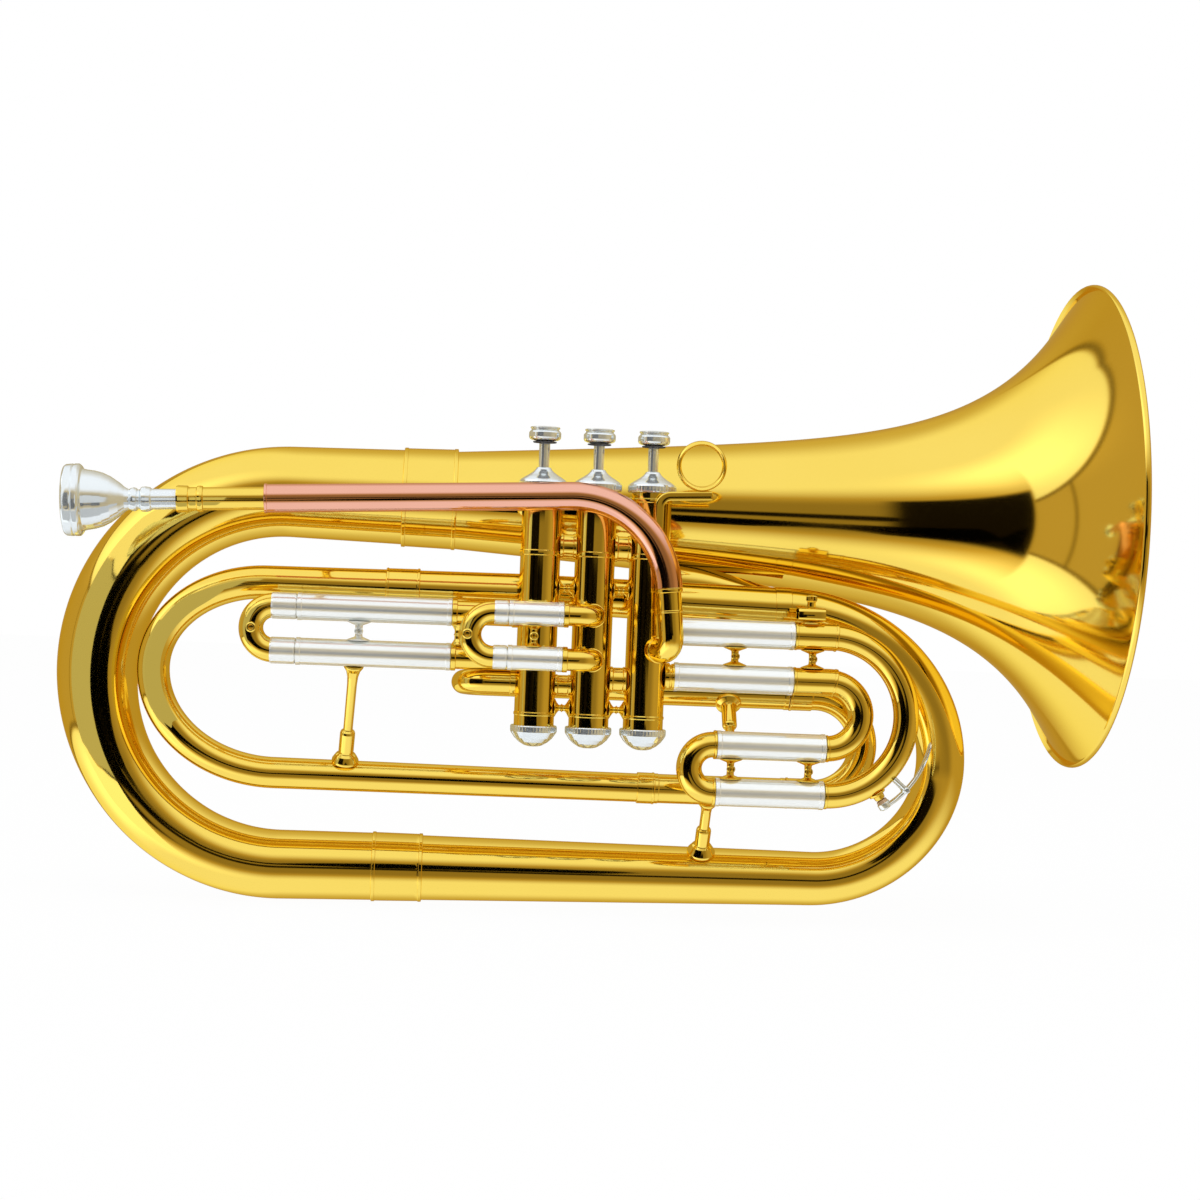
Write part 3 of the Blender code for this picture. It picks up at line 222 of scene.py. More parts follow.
def tube(name, path, base, material, collars=(), wall=0.9, sides=40, reference=(0, 1, 0), spacing=2.0):
    # outside along the path, back along the bore, closed at both mouths
    length = pathLength(path)
    base = [(length if d is None else d, r) for d, r in base]
    stations, radii = collarRadii(length, base, collars, spacing)
    boreAt = np.linspace(length, 0, max(2, int(length / 6)))
    bore = np.interp(boreAt, [d for d, r in base], [r for d, r in base]) - wall
    grid = ringGrid(path, np.r_[stations, boreAt], np.r_[radii, bore], sides, reference)
    return finishMesh(name, gridMesh(name, grid, True), material)


def turned(name, origin, way, outline, material, bend=0.35, sides=48, flute=None, closed=False):
    # an outline of (distance along the axis, radius) spun about the axis
    outline = roundedOutline(list(outline) + ([outline[0]] if closed else []), bend)
    if closed:
        outline = outline[:-1]
    origin, way = np.asarray(origin, float), unit(way)
    reference = (0, 1, 0) if abs(way[1]) < 0.9 else (0, 0, 1)
    side = unit(np.cross(way, reference))
    lift = np.cross(side, way)
    angle = np.arange(sides) * 2 * math.pi / sides
    radius = np.repeat(outline[:, 1:2], sides, 1)
    if flute:
        count, depth, low, high = flute
        mask = ((outline[:, 0] > low) & (outline[:, 0] < high) & (outline[:, 1] > flute[1] * 4)).astype(float)
        radius = radius - depth * mask[:, None] * (0.5 + 0.5 * np.cos(count * angle))[None]
    spoke = side[None] * np.cos(angle)[:, None] + lift[None] * np.sin(angle)[:, None]
    grid = origin + way * outline[:, 0, None, None] + spoke[None] * radius[..., None]
    return finishMesh(name, gridMesh(name, grid, closed), material)


def settle(piece, body, slot, *nodes):
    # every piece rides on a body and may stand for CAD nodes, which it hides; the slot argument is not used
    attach(piece, body)
    if nodes:
        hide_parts(*nodes)
    return piece


# Finishes

def socketGroup(name, inputs, outputs):
    group = bpy.data.node_groups.new(name, "ShaderNodeTree")
    for label, kind, value in inputs:
        made = group.interface.new_socket(label, in_out="INPUT", socket_type=kind)
        made.default_value = value
    for label, kind in outputs:
        group.interface.new_socket(label, in_out="OUTPUT", socket_type=kind)
    return group, group.nodes.new("NodeGroupInput"), group.nodes.new("NodeGroupOutput")


def addNode(tree, kind, settings=None, **values):
    node = tree.nodes.new(kind)
    for key, value in (settings or {}).items():
        setattr(node, key, value)
    for key, value in values.items():
        node.inputs[key].default_value = value
    return node


def buildPolishGroup():
    # hand polish: soft clouds that shift tone and gloss, fine hairlines, and a slight unevenness of the surface
    group, come, go = socketGroup("handPolish", [
        ("Bright", "NodeSocketColor", (0.9, 0.6, 0.2, 1)), ("Deep", "NodeSocketColor", (0.7, 0.4, 0.1, 1)),
        ("Gloss", "NodeSocketFloat", 0.08), ("Cloud Size", "NodeSocketFloat", 18.0),
        ("Hairlines", "NodeSocketFloat", 0.04), ("Stretch", "NodeSocketVector", (1, 1, 1)),
    ], [("Colour", "NodeSocketColor"), ("Roughness", "NodeSocketFloat"), ("Height", "NodeSocketFloat")])
    link = group.links.new
    place = addNode(group, "ShaderNodeTexCoord")
    clouds = addNode(group, "ShaderNodeTexNoise", Detail=3.0, Roughness=0.5)
    link(place.outputs["Object"], clouds.inputs["Vector"])
    link(come.outputs["Cloud Size"], clouds.inputs["Scale"])
    tone = addNode(group, "ShaderNodeMix", dict(data_type="RGBA"))
    link(clouds.outputs["Fac"], tone.inputs["Factor"])
    link(come.outputs["Bright"], tone.inputs[6])
    link(come.outputs["Deep"], tone.inputs[7])
    link(tone.outputs[2], go.inputs["Colour"])
    stretched = addNode(group, "ShaderNodeVectorMath", dict(operation="MULTIPLY"))
    link(place.outputs["Object"], stretched.inputs[0])
    link(come.outputs["Stretch"], stretched.inputs[1])
    lines = addNode(group, "ShaderNodeTexNoise", Scale=900.0, Detail=4.0, Roughness=0.7)
    link(stretched.outputs[0], lines.inputs["Vector"])
    sharper = addNode(group, "ShaderNodeMapRange", dict(interpolation_type="SMOOTHSTEP"))
    for slotName, value in (("From Min", 0.5), ("From Max", 0.75), ("To Min", 0.0), ("To Max", 1.0)):
        sharper.inputs[slotName].default_value = value
    link(lines.outputs["Fac"], sharper.inputs["Value"])
    rub = addNode(group, "ShaderNodeMath", dict(operation="MULTIPLY"))
    link(sharper.outputs[0], rub.inputs[0])
    link(come.outputs["Hairlines"], rub.inputs[1])
    haze = addNode(group, "ShaderNodeMath", dict(operation="MULTIPLY_ADD"))
    haze.inputs[1].default_value = 0.05
    link(clouds.outputs["Fac"], haze.inputs[0])
    link(come.outputs["Gloss"], haze.inputs[2])
    rough = addNode(group, "ShaderNodeMath", dict(operation="ADD"))
    link(haze.outputs[0], rough.inputs[0])
    link(rub.outputs[0], rough.inputs[1])
    link(rough.outputs[0], go.inputs["Roughness"])
    ripple = addNode(group, "ShaderNodeMath", dict(operation="MULTIPLY_ADD"))
    ripple.inputs[1].default_value = 0.6
    link(clouds.outputs["Fac"], ripple.inputs[0])
    link(rub.outputs[0], ripple.inputs[2])
    link(ripple.outputs[0], go.inputs["Height"])
    return group


polishGroup = buildPolishGroup()


def metal(name, bright, deep, gloss, clouds=18.0, hairlines=0.04, stretch=(1, 1, 1), edge=None, bump=0.02,
          metallic=1.0):
    # a polished metal: the group gives tone, roughness and height, the shader stays here; edge tints grazing light
    made = bpy.data.materials.new(name)
    made.use_nodes = True
    tree = made.node_tree
    shader = tree.nodes["Principled BSDF"]
    polish = addNode(tree, "ShaderNodeGroup", dict(node_tree=polishGroup))
    polish.inputs["Bright"].default_value = (*bright, 1)
    polish.inputs["Deep"].default_value = (*deep, 1)
    polish.inputs["Gloss"].default_value = gloss
    polish.inputs["Cloud Size"].default_value = clouds
    polish.inputs["Hairlines"].default_value = hairlines
    polish.inputs["Stretch"].default_value = stretch
    raised = addNode(tree, "ShaderNodeBump", Strength=bump, Distance=0.0004)
    tree.links.new(polish.outputs["Height"], raised.inputs["Height"])
    tree.links.new(raised.outputs["Normal"], shader.inputs["Normal"])
    tree.links.new(polish.outputs["Colour"], shader.inputs["Base Color"])
    tree.links.new(polish.outputs["Roughness"], shader.inputs["Roughness"])
    shader.inputs["Metallic"].default_value = metallic
    shader.inputs["Specular Tint"].default_value = (*(edge or bright), 1)
    made.diffuse_color = (*bright, 1)
    return made


def buildFinishes():
    return dict(
        brass=metal("goldLacquer", (0.97, 0.73, 0.145), (0.94, 0.69, 0.12), 0.045, 14.0, 0.03,
                    edge=(0.98, 0.85, 0.45)),
        rose=metal("roseBrass", (0.90, 0.50, 0.38), (0.84, 0.42, 0.31), 0.06, 14.0, 0.03, edge=(0.96, 0.78, 0.70)),
        nickel=metal("nickelSilver", (0.93, 0.955, 0.945), (0.88, 0.905, 0.895), 0.06, 10.0, 0.05,
                     stretch=(0.05, 1, 1), bump=0.03, metallic=0.66),
        silver=metal("silverPlate", (0.87, 0.92, 0.95), (0.77, 0.83, 0.86), 0.07, 20.0, 0.03, metallic=0.80),
        steel=metal("springSteel", (0.55, 0.56, 0.58), (0.45, 0.46, 0.48), 0.22, 20.0, 0.1),
        pearl=plainFinish("pearlInlay", (0.86, 0.86, 0.84), (0.72, 0.75, 0.76), 0.12, 160.0, 0.0),
        cork=plainFinish("corkPad", (0.62, 0.42, 0.25), (0.35, 0.22, 0.12), 0.75, 700.0, 0.3),
        felt=plainFinish("buttonFelt", (0.10, 0.10, 0.11), (0.03, 0.03, 0.03), 0.95, 1400.0, 0.5),
    )


def plainFinish(name, light, dark, roughness, size, bump):
    # a non-metal: two tones through noise, with a grain of the same noise
    made = bpy.data.materials.new(name)
    made.use_nodes = True
    tree = made.node_tree
    shader = tree.nodes["Principled BSDF"]
    place = addNode(tree, "ShaderNodeTexCoord")
    grain = addNode(tree, "ShaderNodeTexNoise", Scale=size, Detail=5.0)
    tree.links.new(place.outputs["Object"], grain.inputs["Vector"])
    tone = addNode(tree, "ShaderNodeValToRGB")
    tone.color_ramp.elements[0].color = (*dark, 1)
    tone.color_ramp.elements[1].color = (*light, 1)
    tone.color_ramp.elements[0].position = 0.35
    tone.color_ramp.elements[1].position = 0.62
    tree.links.new(grain.outputs["Fac"], tone.inputs["Fac"])
    tree.links.new(tone.outputs["Color"], shader.inputs["Base Color"])
    raised = addNode(tree, "ShaderNodeBump", Strength=bump, Distance=0.0003)
    tree.links.new(grain.outputs["Fac"], raised.inputs["Height"])
    tree.links.new(raised.outputs["Normal"], shader.inputs["Normal"])
    shader.inputs["Roughness"].default_value = roughness
    return made


finish = buildFinishes()
print("finishes ready")


# Mouthpiece, receiver and leadpipe, all on one rising line

mouth = dict(rimX=-286.3, rimZ=46.2, slope=0.0505, rimRadius=19.3, receiverAt=60.5, receiverLength=46.6)
leadpipe = dict(radius=7.65, corner=(34.4, -22.0, 62.4), bend=57.0, elbowTop=12.4,
                elbowCorner=(42.4, -22.0, -21.7), elbowRadius=6.75, elbowBend=8.0)
leadWay = unit((1, 0, mouth["slope"]))
leadStart = np.array([mouth["rimX"], layers["leadpipe"], mouth["rimZ"]])


def buildMouthpiece():
    # rim, bowl, beads and shank outside, cup and throat inside
    end = mouth["receiverAt"] + 20
    outline = [
        (1.8, 14.6), (1.2, 16.4), (1.6, 18.2), (2.7, 19.0), (6.2, mouth["rimRadius"]), (6.8, 18.9), (7.2, 19.3),
        (9.6, 19.3), (10.8, 18.2), (11.6, 16.6), (13.4, 16.1), (17.5, 15.5), (21.8, 14.3), (26.0, 12.2), (30.2, 9.2),
        (33.2, 6.6), (35.4, 5.4), (36.4, 6.0), (38.0, 6.4), (39.4, 6.0), (40.0, 5.2), (41.2, 5.2), (41.8, 6.6),
        (44.4, 6.8), (46.6, 6.4), (47.4, 5.6), (52.0, 5.5), (60.5, 5.4), (end, 4.8),
        (end, 3.6), (40.0, 2.7), (31.0, 2.9), (26.0, 5.0), (20.0, 8.4), (13.0, 11.2), (6.0, 12.8), (2.0, 13.3),
    ]
    piece = turned("mouthpieceBody", leadStart, leadWay, outline, finish["silver"], 0.9, 64, closed=True)
    settle(piece, "mouthpiece_body", "silver_plate", "mouthpiece")


def buildReceiver():
    at, length = mouth["receiverAt"], mouth["receiverLength"]
    outline = [
        (0, 7.0), (0.9, 7.3), (6.0, 7.1), (6.4, 6.5), (7.2, 6.3), (10.6, 6.3), (11.0, 6.9), (12.4, 7.1), (13.8, 6.9),
        (14.2, 6.2), (length, 6.2), (length, 4.9), (20.0, 5.0), (0, 5.8),
    ]
    piece = turned("receiverTube", leadStart + leadWay * at, leadWay, outline, finish["brass"], 0.4, 56, closed=True)
    settle(piece, fixed, "lacquered_brass", "mouthpiece_receiver")


def buildLeadpipe():
    start = leadStart + leadWay * (mouth["receiverAt"] + mouth["receiverLength"] - 0.2)
    corner, low = np.array(leadpipe["corner"]), np.array(leadpipe["elbowCorner"])
    fall = unit(low - corner)
    stop = corner + fall * ((corner[2] - leadpipe["elbowTop"]) / -fall[2])
    path = roundedPath([start, corner, stop], leadpipe["bend"], 2.0)
    length = pathLength(path)
    piece = tube("leadpipeTube", path, [(0, leadpipe["radius"]), (length, leadpipe["radius"])], finish["rose"],
                 [(0.0, 1.6, 0.35)], wall=1.0, sides=48)
    settle(piece, fixed, "rose_brass", "leadpipe")
    valve = np.array([30.0, 0.0, low[2]])
    end = valve + unit(low - valve) * 9.0
    path = roundedPath([stop + fall * 0.2, low, end], leadpipe["elbowBend"], 5.0)
    length = pathLength(path)
    piece = tube("leadpipeElbow", path, [(0, leadpipe["elbowRadius"]), (length, leadpipe["elbowRadius"])],
                 finish["brass"], [(0.0, 2.4, 0.9), (11.8, 13.2, 0.35), (length - 4.0, length, 0.5)],
                 sides=40, reference=np.cross(fall, unit(end - low)))
    settle(piece, fixed, "lacquered_brass", "leadpipe_elbow")


buildMouthpiece()
buildReceiver()
buildLeadpipe()
print("mouthpiece and leadpipe ready")


# Valves: casings with rings, knurled caps, stems, buttons, pistons and springs

valve = dict(pitch=30.0, casing=11.0, bore=9.5, top=67.0, bottom=-68.0, pistonTop=50.0, pistonBottom=-42.0,
             capTop=76.0, capBottom=-77.0, buttonBottom=90.2, buttonTop=98.2, buttonRadius=8.8,
             springRadius=7.6, springWire=0.6, springTurns=5, knurls=44)
up = (0, 0, 1)


def valveAxis(number, z=0.0):
    return np.array([(number - 2) * valve["pitch"], 0.0, z])


def buildCasing(number):
    r, low, high = valve["casing"], valve["bottom"], valve["top"]
    outline = [
        (low, r), (low + 1.0, r), (-60.0, r), (-59.6, r + 0.35), (-58.4, r + 0.35), (-58.0, r), (27.6, r),
        (28.0, r + 0.5), (30.2, r + 0.5), (30.6, r), (58.6, r), (59.0, r + 0.4), (60.6, r + 0.4), (61.0, r), (high, r),
        (high, valve["bore"]), (low, valve["bore"]),
    ]
    piece = turned("casing%d" % number, valveAxis(number), up, outline, finish["brass"], 0.3, 56, closed=True)
    settle(piece, fixed, "lacquered_brass", "valve_casing_%d" % number)


def buildTopCap(number):
    top = valve["top"]
    outline = [
        (top - 2.8, 11.3), (top - 2.8, 12.8), (top - 2.0, 13.4), (top + 0.6, 13.4), (top + 1.6, 13.0),
        (top + 2.4, 12.0), (top + 3.6, 10.2), (top + 5.0, 7.8), (top + 6.4, 5.8), (top + 7.6, 4.6), (top + 8.6, 4.0),
        (top + 9.0, 3.5), (top + 0.4, 3.6), (top + 0.4, 11.3),
    ]
    piece = turned("topCap%d" % number, valveAxis(number), up, outline, finish["silver"], 0.5, 176,
                   flute=(valve["knurls"], 0.25, top - 2.5, top + 0.6), closed=True)
    settle(piece, fixed, "silver_plate", "top_cap_%d" % number)


def buildBottomCap(number):
    low = valve["bottom"]
    outline = [
        (low + 2.6, 11.3), (low - 0.3, 11.3), (low - 0.3, 4.4), (low - 4.2, 2.2), (valve["capBottom"] + 0.2, 2.0),
        (valve["capBottom"], 2.6), (valve["capBottom"] + 0.6, 5.0), (low - 6.6, 8.0), (low - 4.4, 10.4),
        (low - 2.2, 11.9), (low - 1.0, 12.7), (low + 0.2, 12.8), (low + 2.0, 12.8), (low + 2.6, 12.4),
    ]
    piece = turned("bottomCap%d" % number, valveAxis(number), up, outline, finish["silver"], 0.3, 176,
                   flute=(valve["knurls"], 0.25, low - 0.6, low + 2.2), closed=True)
    settle(piece, fixed, "silver_plate", "bottom_cap_%d" % number)


def buildPistonSet(number):
    body, low, high = "valve_%d" % number, valve["buttonBottom"], valve["buttonTop"]
    stem = [
        (50.3, 0), (50.3, 6.0), (53.0, 6.0), (53.6, 3.0), (77.0, 3.0), (low - 0.3, 3.0), (low - 0.3, 0),
    ]
    piece = turned("stem%d" % number, valveAxis(number), up, stem, finish["silver"], 0.3, 32)
    settle(piece, body, "nickel_silver", "valve_stem_%d" % number)
    button = [
        (low, 0), (low, 4.0), (low + 0.6, 7.2), (low + 1.2, 8.4), (low + 2.2, 8.8), (low + 4.6, 8.8), (low + 5.4, 8.3),
        (low + 6.0, 7.6), (high - 1.3, 7.6), (high - 0.9, 8.2), (high - 0.3, 8.1), (high - 0.1, 7.2), (high - 0.5, 6.8),
        (high - 0.5, 0),
    ]
    piece = turned("button%d" % number, valveAxis(number), up, button, finish["silver"], 0.35, 56)
    settle(piece, body, "silver_plate", "finger_button_%d" % number)
    inlay = [(high - 0.45, 0), (high - 0.45, 6.6), (high - 0.25, 6.7), (high, 0)]
    piece = turned("buttonInlay%d" % number, valveAxis(number), up, inlay, finish["pearl"], 0.2, 48)
    settle(piece, body, "silver_plate")
    felt = [(low - 0.9, 3.1), (low - 0.9, 6.4), (low - 0.2, 6.6), (low - 0.2, 3.1)]
    piece = turned("buttonFelt%d" % number, valveAxis(number), up, felt, finish["felt"], 0.4, 40, closed=True)
    settle(piece, body, "steel")
    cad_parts["piston_%d" % number].data.materials.clear()
    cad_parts["piston_%d" % number].data.materials.append(finish["nickel"])


def buildSpring(number):
    # a helix with closed ends, its wire swept round it
    low, high = valve["bottom"] + 0.6, valve["pistonBottom"] - 0.9
    t = np.linspace(0, 1, valve["springTurns"] * 28)
    angle = 2 * math.pi * valve["springTurns"] * t
    path = np.stack([valve["springRadius"] * np.cos(angle), valve["springRadius"] * np.sin(angle),
                     low + (high - low) * t], 1) + valveAxis(number)
    length = pathLength(path)
    stations = np.linspace(0, length, len(t))
    radii = np.full(len(t), valve["springWire"])
    radii[[0, -1]] = 0.0
    grid = ringGrid(path, stations, radii, 8, up)
    name = "spring%d" % number
    piece = finishMesh(name, gridMesh(name, grid, False), finish["steel"])
    settle(piece, fixed, "steel", "valve_spring_%d" % number)
    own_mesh(piece)


def spool(name, start, end, material, body, slot, wide=3.6, neck=1.6, bead=0.0, nodes=()):
    # a turned brace: flared feet, a thin neck and, where asked, a bead in the middle
    start, end = np.asarray(start, float), np.asarray(end, float)
    length = float(np.linalg.norm(end - start))
    shares = np.array([0.0, 0.06, 0.16, 0.30, 0.44, 0.5, 0.56, 0.70, 0.84, 0.94, 1.0])
    middle = max(bead, neck)
    radii = np.array([wide, wide, (wide + neck) / 2, neck, neck, middle, neck, neck, (wide + neck) / 2, wide, wide])
    outline = [(0, 0)] + list(zip(shares * length, radii)) + [(length, 0)]
    piece = turned(name, start, end - start, outline, material, 0.8, 32)
    return settle(piece, body, slot, *nodes)


def bossPiece(name, x, y, z, body, material, slot, radius=2.8, length=5.0):
    # a small round boss with a hole in its face, on the front of a bow or in the middle of a brace
    outline = [(0, 0), (0, radius * 0.75), (length - 1.6, radius * 0.8), (length - 1.2, radius), (length - 0.4, radius),
               (length, radius * 0.75), (length, radius * 0.5), (length - 3.0, radius * 0.45), (length - 3.0, 0)]
    piece = turned(name, (x, y, z), (0, -1, 0), outline, material, 0.25, 32)
    settle(piece, body, slot)


def saddleBrace(name, x, y, top, bottom, look, body, slot, saddle=6.4, nodes=()):
    # a short brace between two tubes: a wide low saddle on each and a round boss with a hole between
    height = top - bottom
    rise = min(2.2, height * 0.28)
    outline = [(0, 0), (0, saddle), (0.5, saddle), (rise * 0.55, saddle * 0.72), (rise, 2.1), (height / 2, 1.9),
               (height - rise, 2.1), (height - rise * 0.55, saddle * 0.72), (height - 0.5, saddle), (height, saddle),
               (height, 0)]
    piece = turned(name, (x, y, bottom), up, outline, finish[look], 0.6, 40)
    settle(piece, body, slot, *nodes)
    bossPiece(name + "Boss", x, y + 1.0, (top + bottom) / 2, body, finish[look], slot, min(2.4, height * 0.3), 4.4)


def buildBlock():
    knuckles = [("knuckle_12_upper", 1, 33.0, 6.8), ("knuckle_23_upper", 2, 33.0, 6.8),
                ("knuckle_12_lower", 1, -43.0, 5.4), ("knuckle_23_lower", 2, -39.0, 6.8)]
    for node, left, z, radius in knuckles:
        start, end = valveAxis(left, z) + (10.4, 0, 0), valveAxis(left + 1, z) - (10.4, 0, 0)
        length = end[0] - start[0]
        outline = [(0, 0), (0, radius + 0.5), (1.6, radius + 0.5), (2.0, radius), (length - 2.0, radius),
                   (length - 1.6, radius + 0.5), (length, radius + 0.5), (length, 0)]
        piece = turned("knuckleTube" + node[7:], start, (1, 0, 0), outline, finish["brass"], 0.4, 40)
        settle(piece, fixed, "lacquered_brass", node)
    for left in (1, 2):
        for z in (10.0, -55.5):
            start, end = valveAxis(left, z) + (10.7, 0, 0), valveAxis(left + 1, z) - (10.7, 0, 0)
            spool("blockBrace%d%s" % (left, "High" if z > 0 else "Low"), start, end, finish["brass"], fixed,
                  "lacquered_brass", 5.0, 1.7, 2.6)


for number in (1, 2, 3):
    buildCasing(number)
    buildTopCap(number)
    buildBottomCap(number)
    buildPistonSet(number)
    buildSpring(number)
buildBlock()
print("valves ready")


# Slides: nickel sleeves stay, legs run inside them, brass bows join the legs

tubeSize = dict(sleeve=7.7, sleeveBore=6.75, leg=6.45, bow=7.1, collar=7.5, neck=6.6)


def sleevePiece(name, start, end, node, radius=None, look="nickel", slot="nickel_silver"):
    radius = radius or tubeSize["sleeve"]
    bore = radius - (tubeSize["sleeve"] - tubeSize["sleeveBore"])
    length = float(np.linalg.norm(np.subtract(end, start)))
    outline = [(0, radius + 0.25), (2.2, radius + 0.25), (2.6, radius), (length - 2.6, radius),
               (length - 2.2, radius + 0.25), (length, radius + 0.25), (length, bore), (0, bore)]
    piece = turned(name, start, np.subtract(end, start), outline, finish[look], 0.25, 48, closed=True)
    settle(piece, fixed, slot, *([node] if node else []))


def neckPiece(name, path, node, radius=None, reference=(0, 1, 0)):
    radius = radius or tubeSize["neck"]
    length = pathLength(path)
    collars = [(0.0, 3.0, 0.9), (length - 3.6, length, 0.5)]
    piece = tube(name, path, [(0, radius), (length, radius)], finish["brass"], collars, sides=40, reference=reference)
    settle(piece, fixed, "lacquered_brass", *([node] if node else []))


def legPiece(name, x0, x1, y, z, body, radius=None):
    # the inner leg that shows when the slide is drawn
    radius = radius or tubeSize["leg"]
    way = 1.0 if x1 > x0 else -1.0
    length = abs(x1 - x0)
    outline = [(0, radius), (length, radius), (length, radius - 0.6), (0, radius - 0.6)]
    piece = turned(name, (x0, y, z), (way, 0, 0), outline, finish["nickel"], 0.15, 40, closed=True)
    settle(piece, body, "nickel_silver")


def ferrulePiece(name, x0, x1, y, z, body, material, slot, radius=None):
    radius = radius or tubeSize["collar"]
    outline = [(0, radius - 0.1), (0.8, radius + 0.15), (abs(x1 - x0) - 0.8, radius + 0.15), (abs(x1 - x0), radius - 0.1),
               (abs(x1 - x0), radius - 1.1), (0, radius - 1.1)]
    piece = turned(name, (x0, y, z), (1.0 if x1 > x0 else -1.0, 0, 0), outline, material, 0.3, 48, closed=True)
    settle(piece, body, slot)


firstSlide = dict(upper=-5.4, lower=-29.8, mouth=-161.0, sleeveEnd=-77.0, ferruleEnd=-175.0, bowLeft=-192.5,
                  legDepth=78.0, thinner=0.4, boss=7.4)


def leftBow(name, s, y, body, node):
    # the brass bow at the left end of a slide, from its mouth round and back
    radius = tubeSize["bow"] - s["thinner"]
    centre = s["bowLeft"] + radius + (s["upper"] - s["lower"]) / 2
    start = s["mouth"] - 0.4
    path = bowPath((start, y, s["upper"]), (start, y, s["lower"]), centre)
    bow = tube(name, path, [(0, radius), (None, radius)], finish["brass"], spacing=1.0)
    settle(bow, body, "lacquered_brass", node)


def buildFirstSlide():
    s, y, body = firstSlide, layers["valves"], "first_slide_body"
    leftBow("firstSlideBow", s, y, body, "first_slide")
    for tag in ("upper", "lower"):
        z = s[tag]
        ferrulePiece("firstFerrule" + tag, s["ferruleEnd"], s["mouth"] - 0.4, y, z, body, finish["nickel"],
                     "nickel_silver", tubeSize["collar"] - s["thinner"])
        legPiece("firstLeg" + tag, s["mouth"] - 2.0, s["mouth"] + s["legDepth"] - 0.6, y, z, body,
                 tubeSize["leg"] - s["thinner"])
        sleevePiece("firstSleeve" + tag, (s["mouth"], y, z), (s["sleeveEnd"], y, z), "first_sleeve_" + tag,
                    tubeSize["sleeve"] - s["thinner"])
        neckPiece("firstNeck" + tag, np.array([(s["sleeveEnd"], y, z), (-40.6, y, z)]), None)
    bossPiece("firstKnob", s["bowLeft"] + s["boss"], y - 5.6, (s["upper"] + s["lower"]) / 2, body, finish["brass"],
              "lacquered_brass")
    saddleBrace("firstSleeveBrace", -127.3, y, s["upper"] - 6.9, s["lower"] + 6.9, "nickel", fixed, "nickel_silver",
                nodes=("first_sleeve_brace",))
    spool("firstNeckBrace", (-73.5, y, s["upper"] - 6.3), (-73.5, y, s["lower"] + 6.3), finish["brass"], fixed,
          "lacquered_brass", 3.4, 1.7, 2.2)


secondSlide = dict(upper=-4.2, lower=-28.4, mouth=-46.4, sleeveEnd=-17.0, ferruleEnd=-54.3, bowLeft=-72.9,
                   legDepth=27.0, thinner=1.1, boss=4.4)


def buildSecondSlide():
    s, y, body = secondSlide, layers["secondSlide"], "second_slide_body"
    leftBow("secondSlideBow", s, y, body, "second_slide")
    for tag in ("upper", "lower"):
        z = s[tag]
        ferrulePiece("secondFerrule" + tag, s["ferruleEnd"], s["mouth"] - 0.4, y, z, body, finish["nickel"],
                     "nickel_silver", tubeSize["collar"] - s["thinner"])
        legPiece("secondLeg" + tag, s["mouth"] - 2.0, s["mouth"] + s["legDepth"] - 0.6, y, z, body,
                 tubeSize["leg"] - s["thinner"])
        sleevePiece("secondSleeve" + tag, (s["mouth"], y, z), (s["sleeveEnd"], y, z), "second_sleeve_" + tag,
                    tubeSize["sleeve"] - s["thinner"])
        path = roundedPath([(s["sleeveEnd"], y, z), (0.0, y, z), (0.0, -9.6, z)], 8.6, 4.0)
        neckPiece("secondElbow" + tag, path, None, tubeSize["neck"] - s["thinner"] / 2, reference=(0, 0, 1))
    bossPiece("secondKnob", s["bowLeft"] + s["boss"], y - 4.4, (s["upper"] + s["lower"]) / 2, body, finish["brass"],
              "lacquered_brass")
    saddleBrace("secondSleeveBrace", -32.6, y, s["upper"] - 6.2, s["lower"] + 6.2, "brass", fixed, "lacquered_brass",
                saddle=4.6)


thirdSlide = dict(z=(-11.0, -36.0, -72.6, -98.6), upperEnd=111.6, lowerStart=71.2, lowerEnd=131.3, bowX=132.4,
                  legDepth=56.0, start=41.0, returnX=69.4)


def thirdBowPiece(name, upper, lower, node):
    s, body = thirdSlide, "third_slide_body"
    path = bowPath((s["upperEnd"] + 0.4, 0, upper), (s["lowerEnd"] + 0.4, 0, lower), s["bowX"], 2.5)
    length = pathLength(path)
    ferrule = 24.0
    collars = [(0, ferrule, 0.45), (0, 1.6, 0.3), (ferrule - 1.6, ferrule, 0.3), (length - 1.6, length, 0.4)]
    bow = tube(name, path, [(0, tubeSize["bow"]), (length, tubeSize["bow"])], finish["brass"], collars, spacing=1.2)
    settle(bow, body, "lacquered_brass", node)
    legPiece(name + "UpperLeg", s["upperEnd"] + 2.0, s["upperEnd"] - s["legDepth"], 0, upper, body)
    legPiece(name + "LowerLeg", s["lowerEnd"] + 0.3, s["lowerEnd"] - s["legDepth"], 0, lower, body)


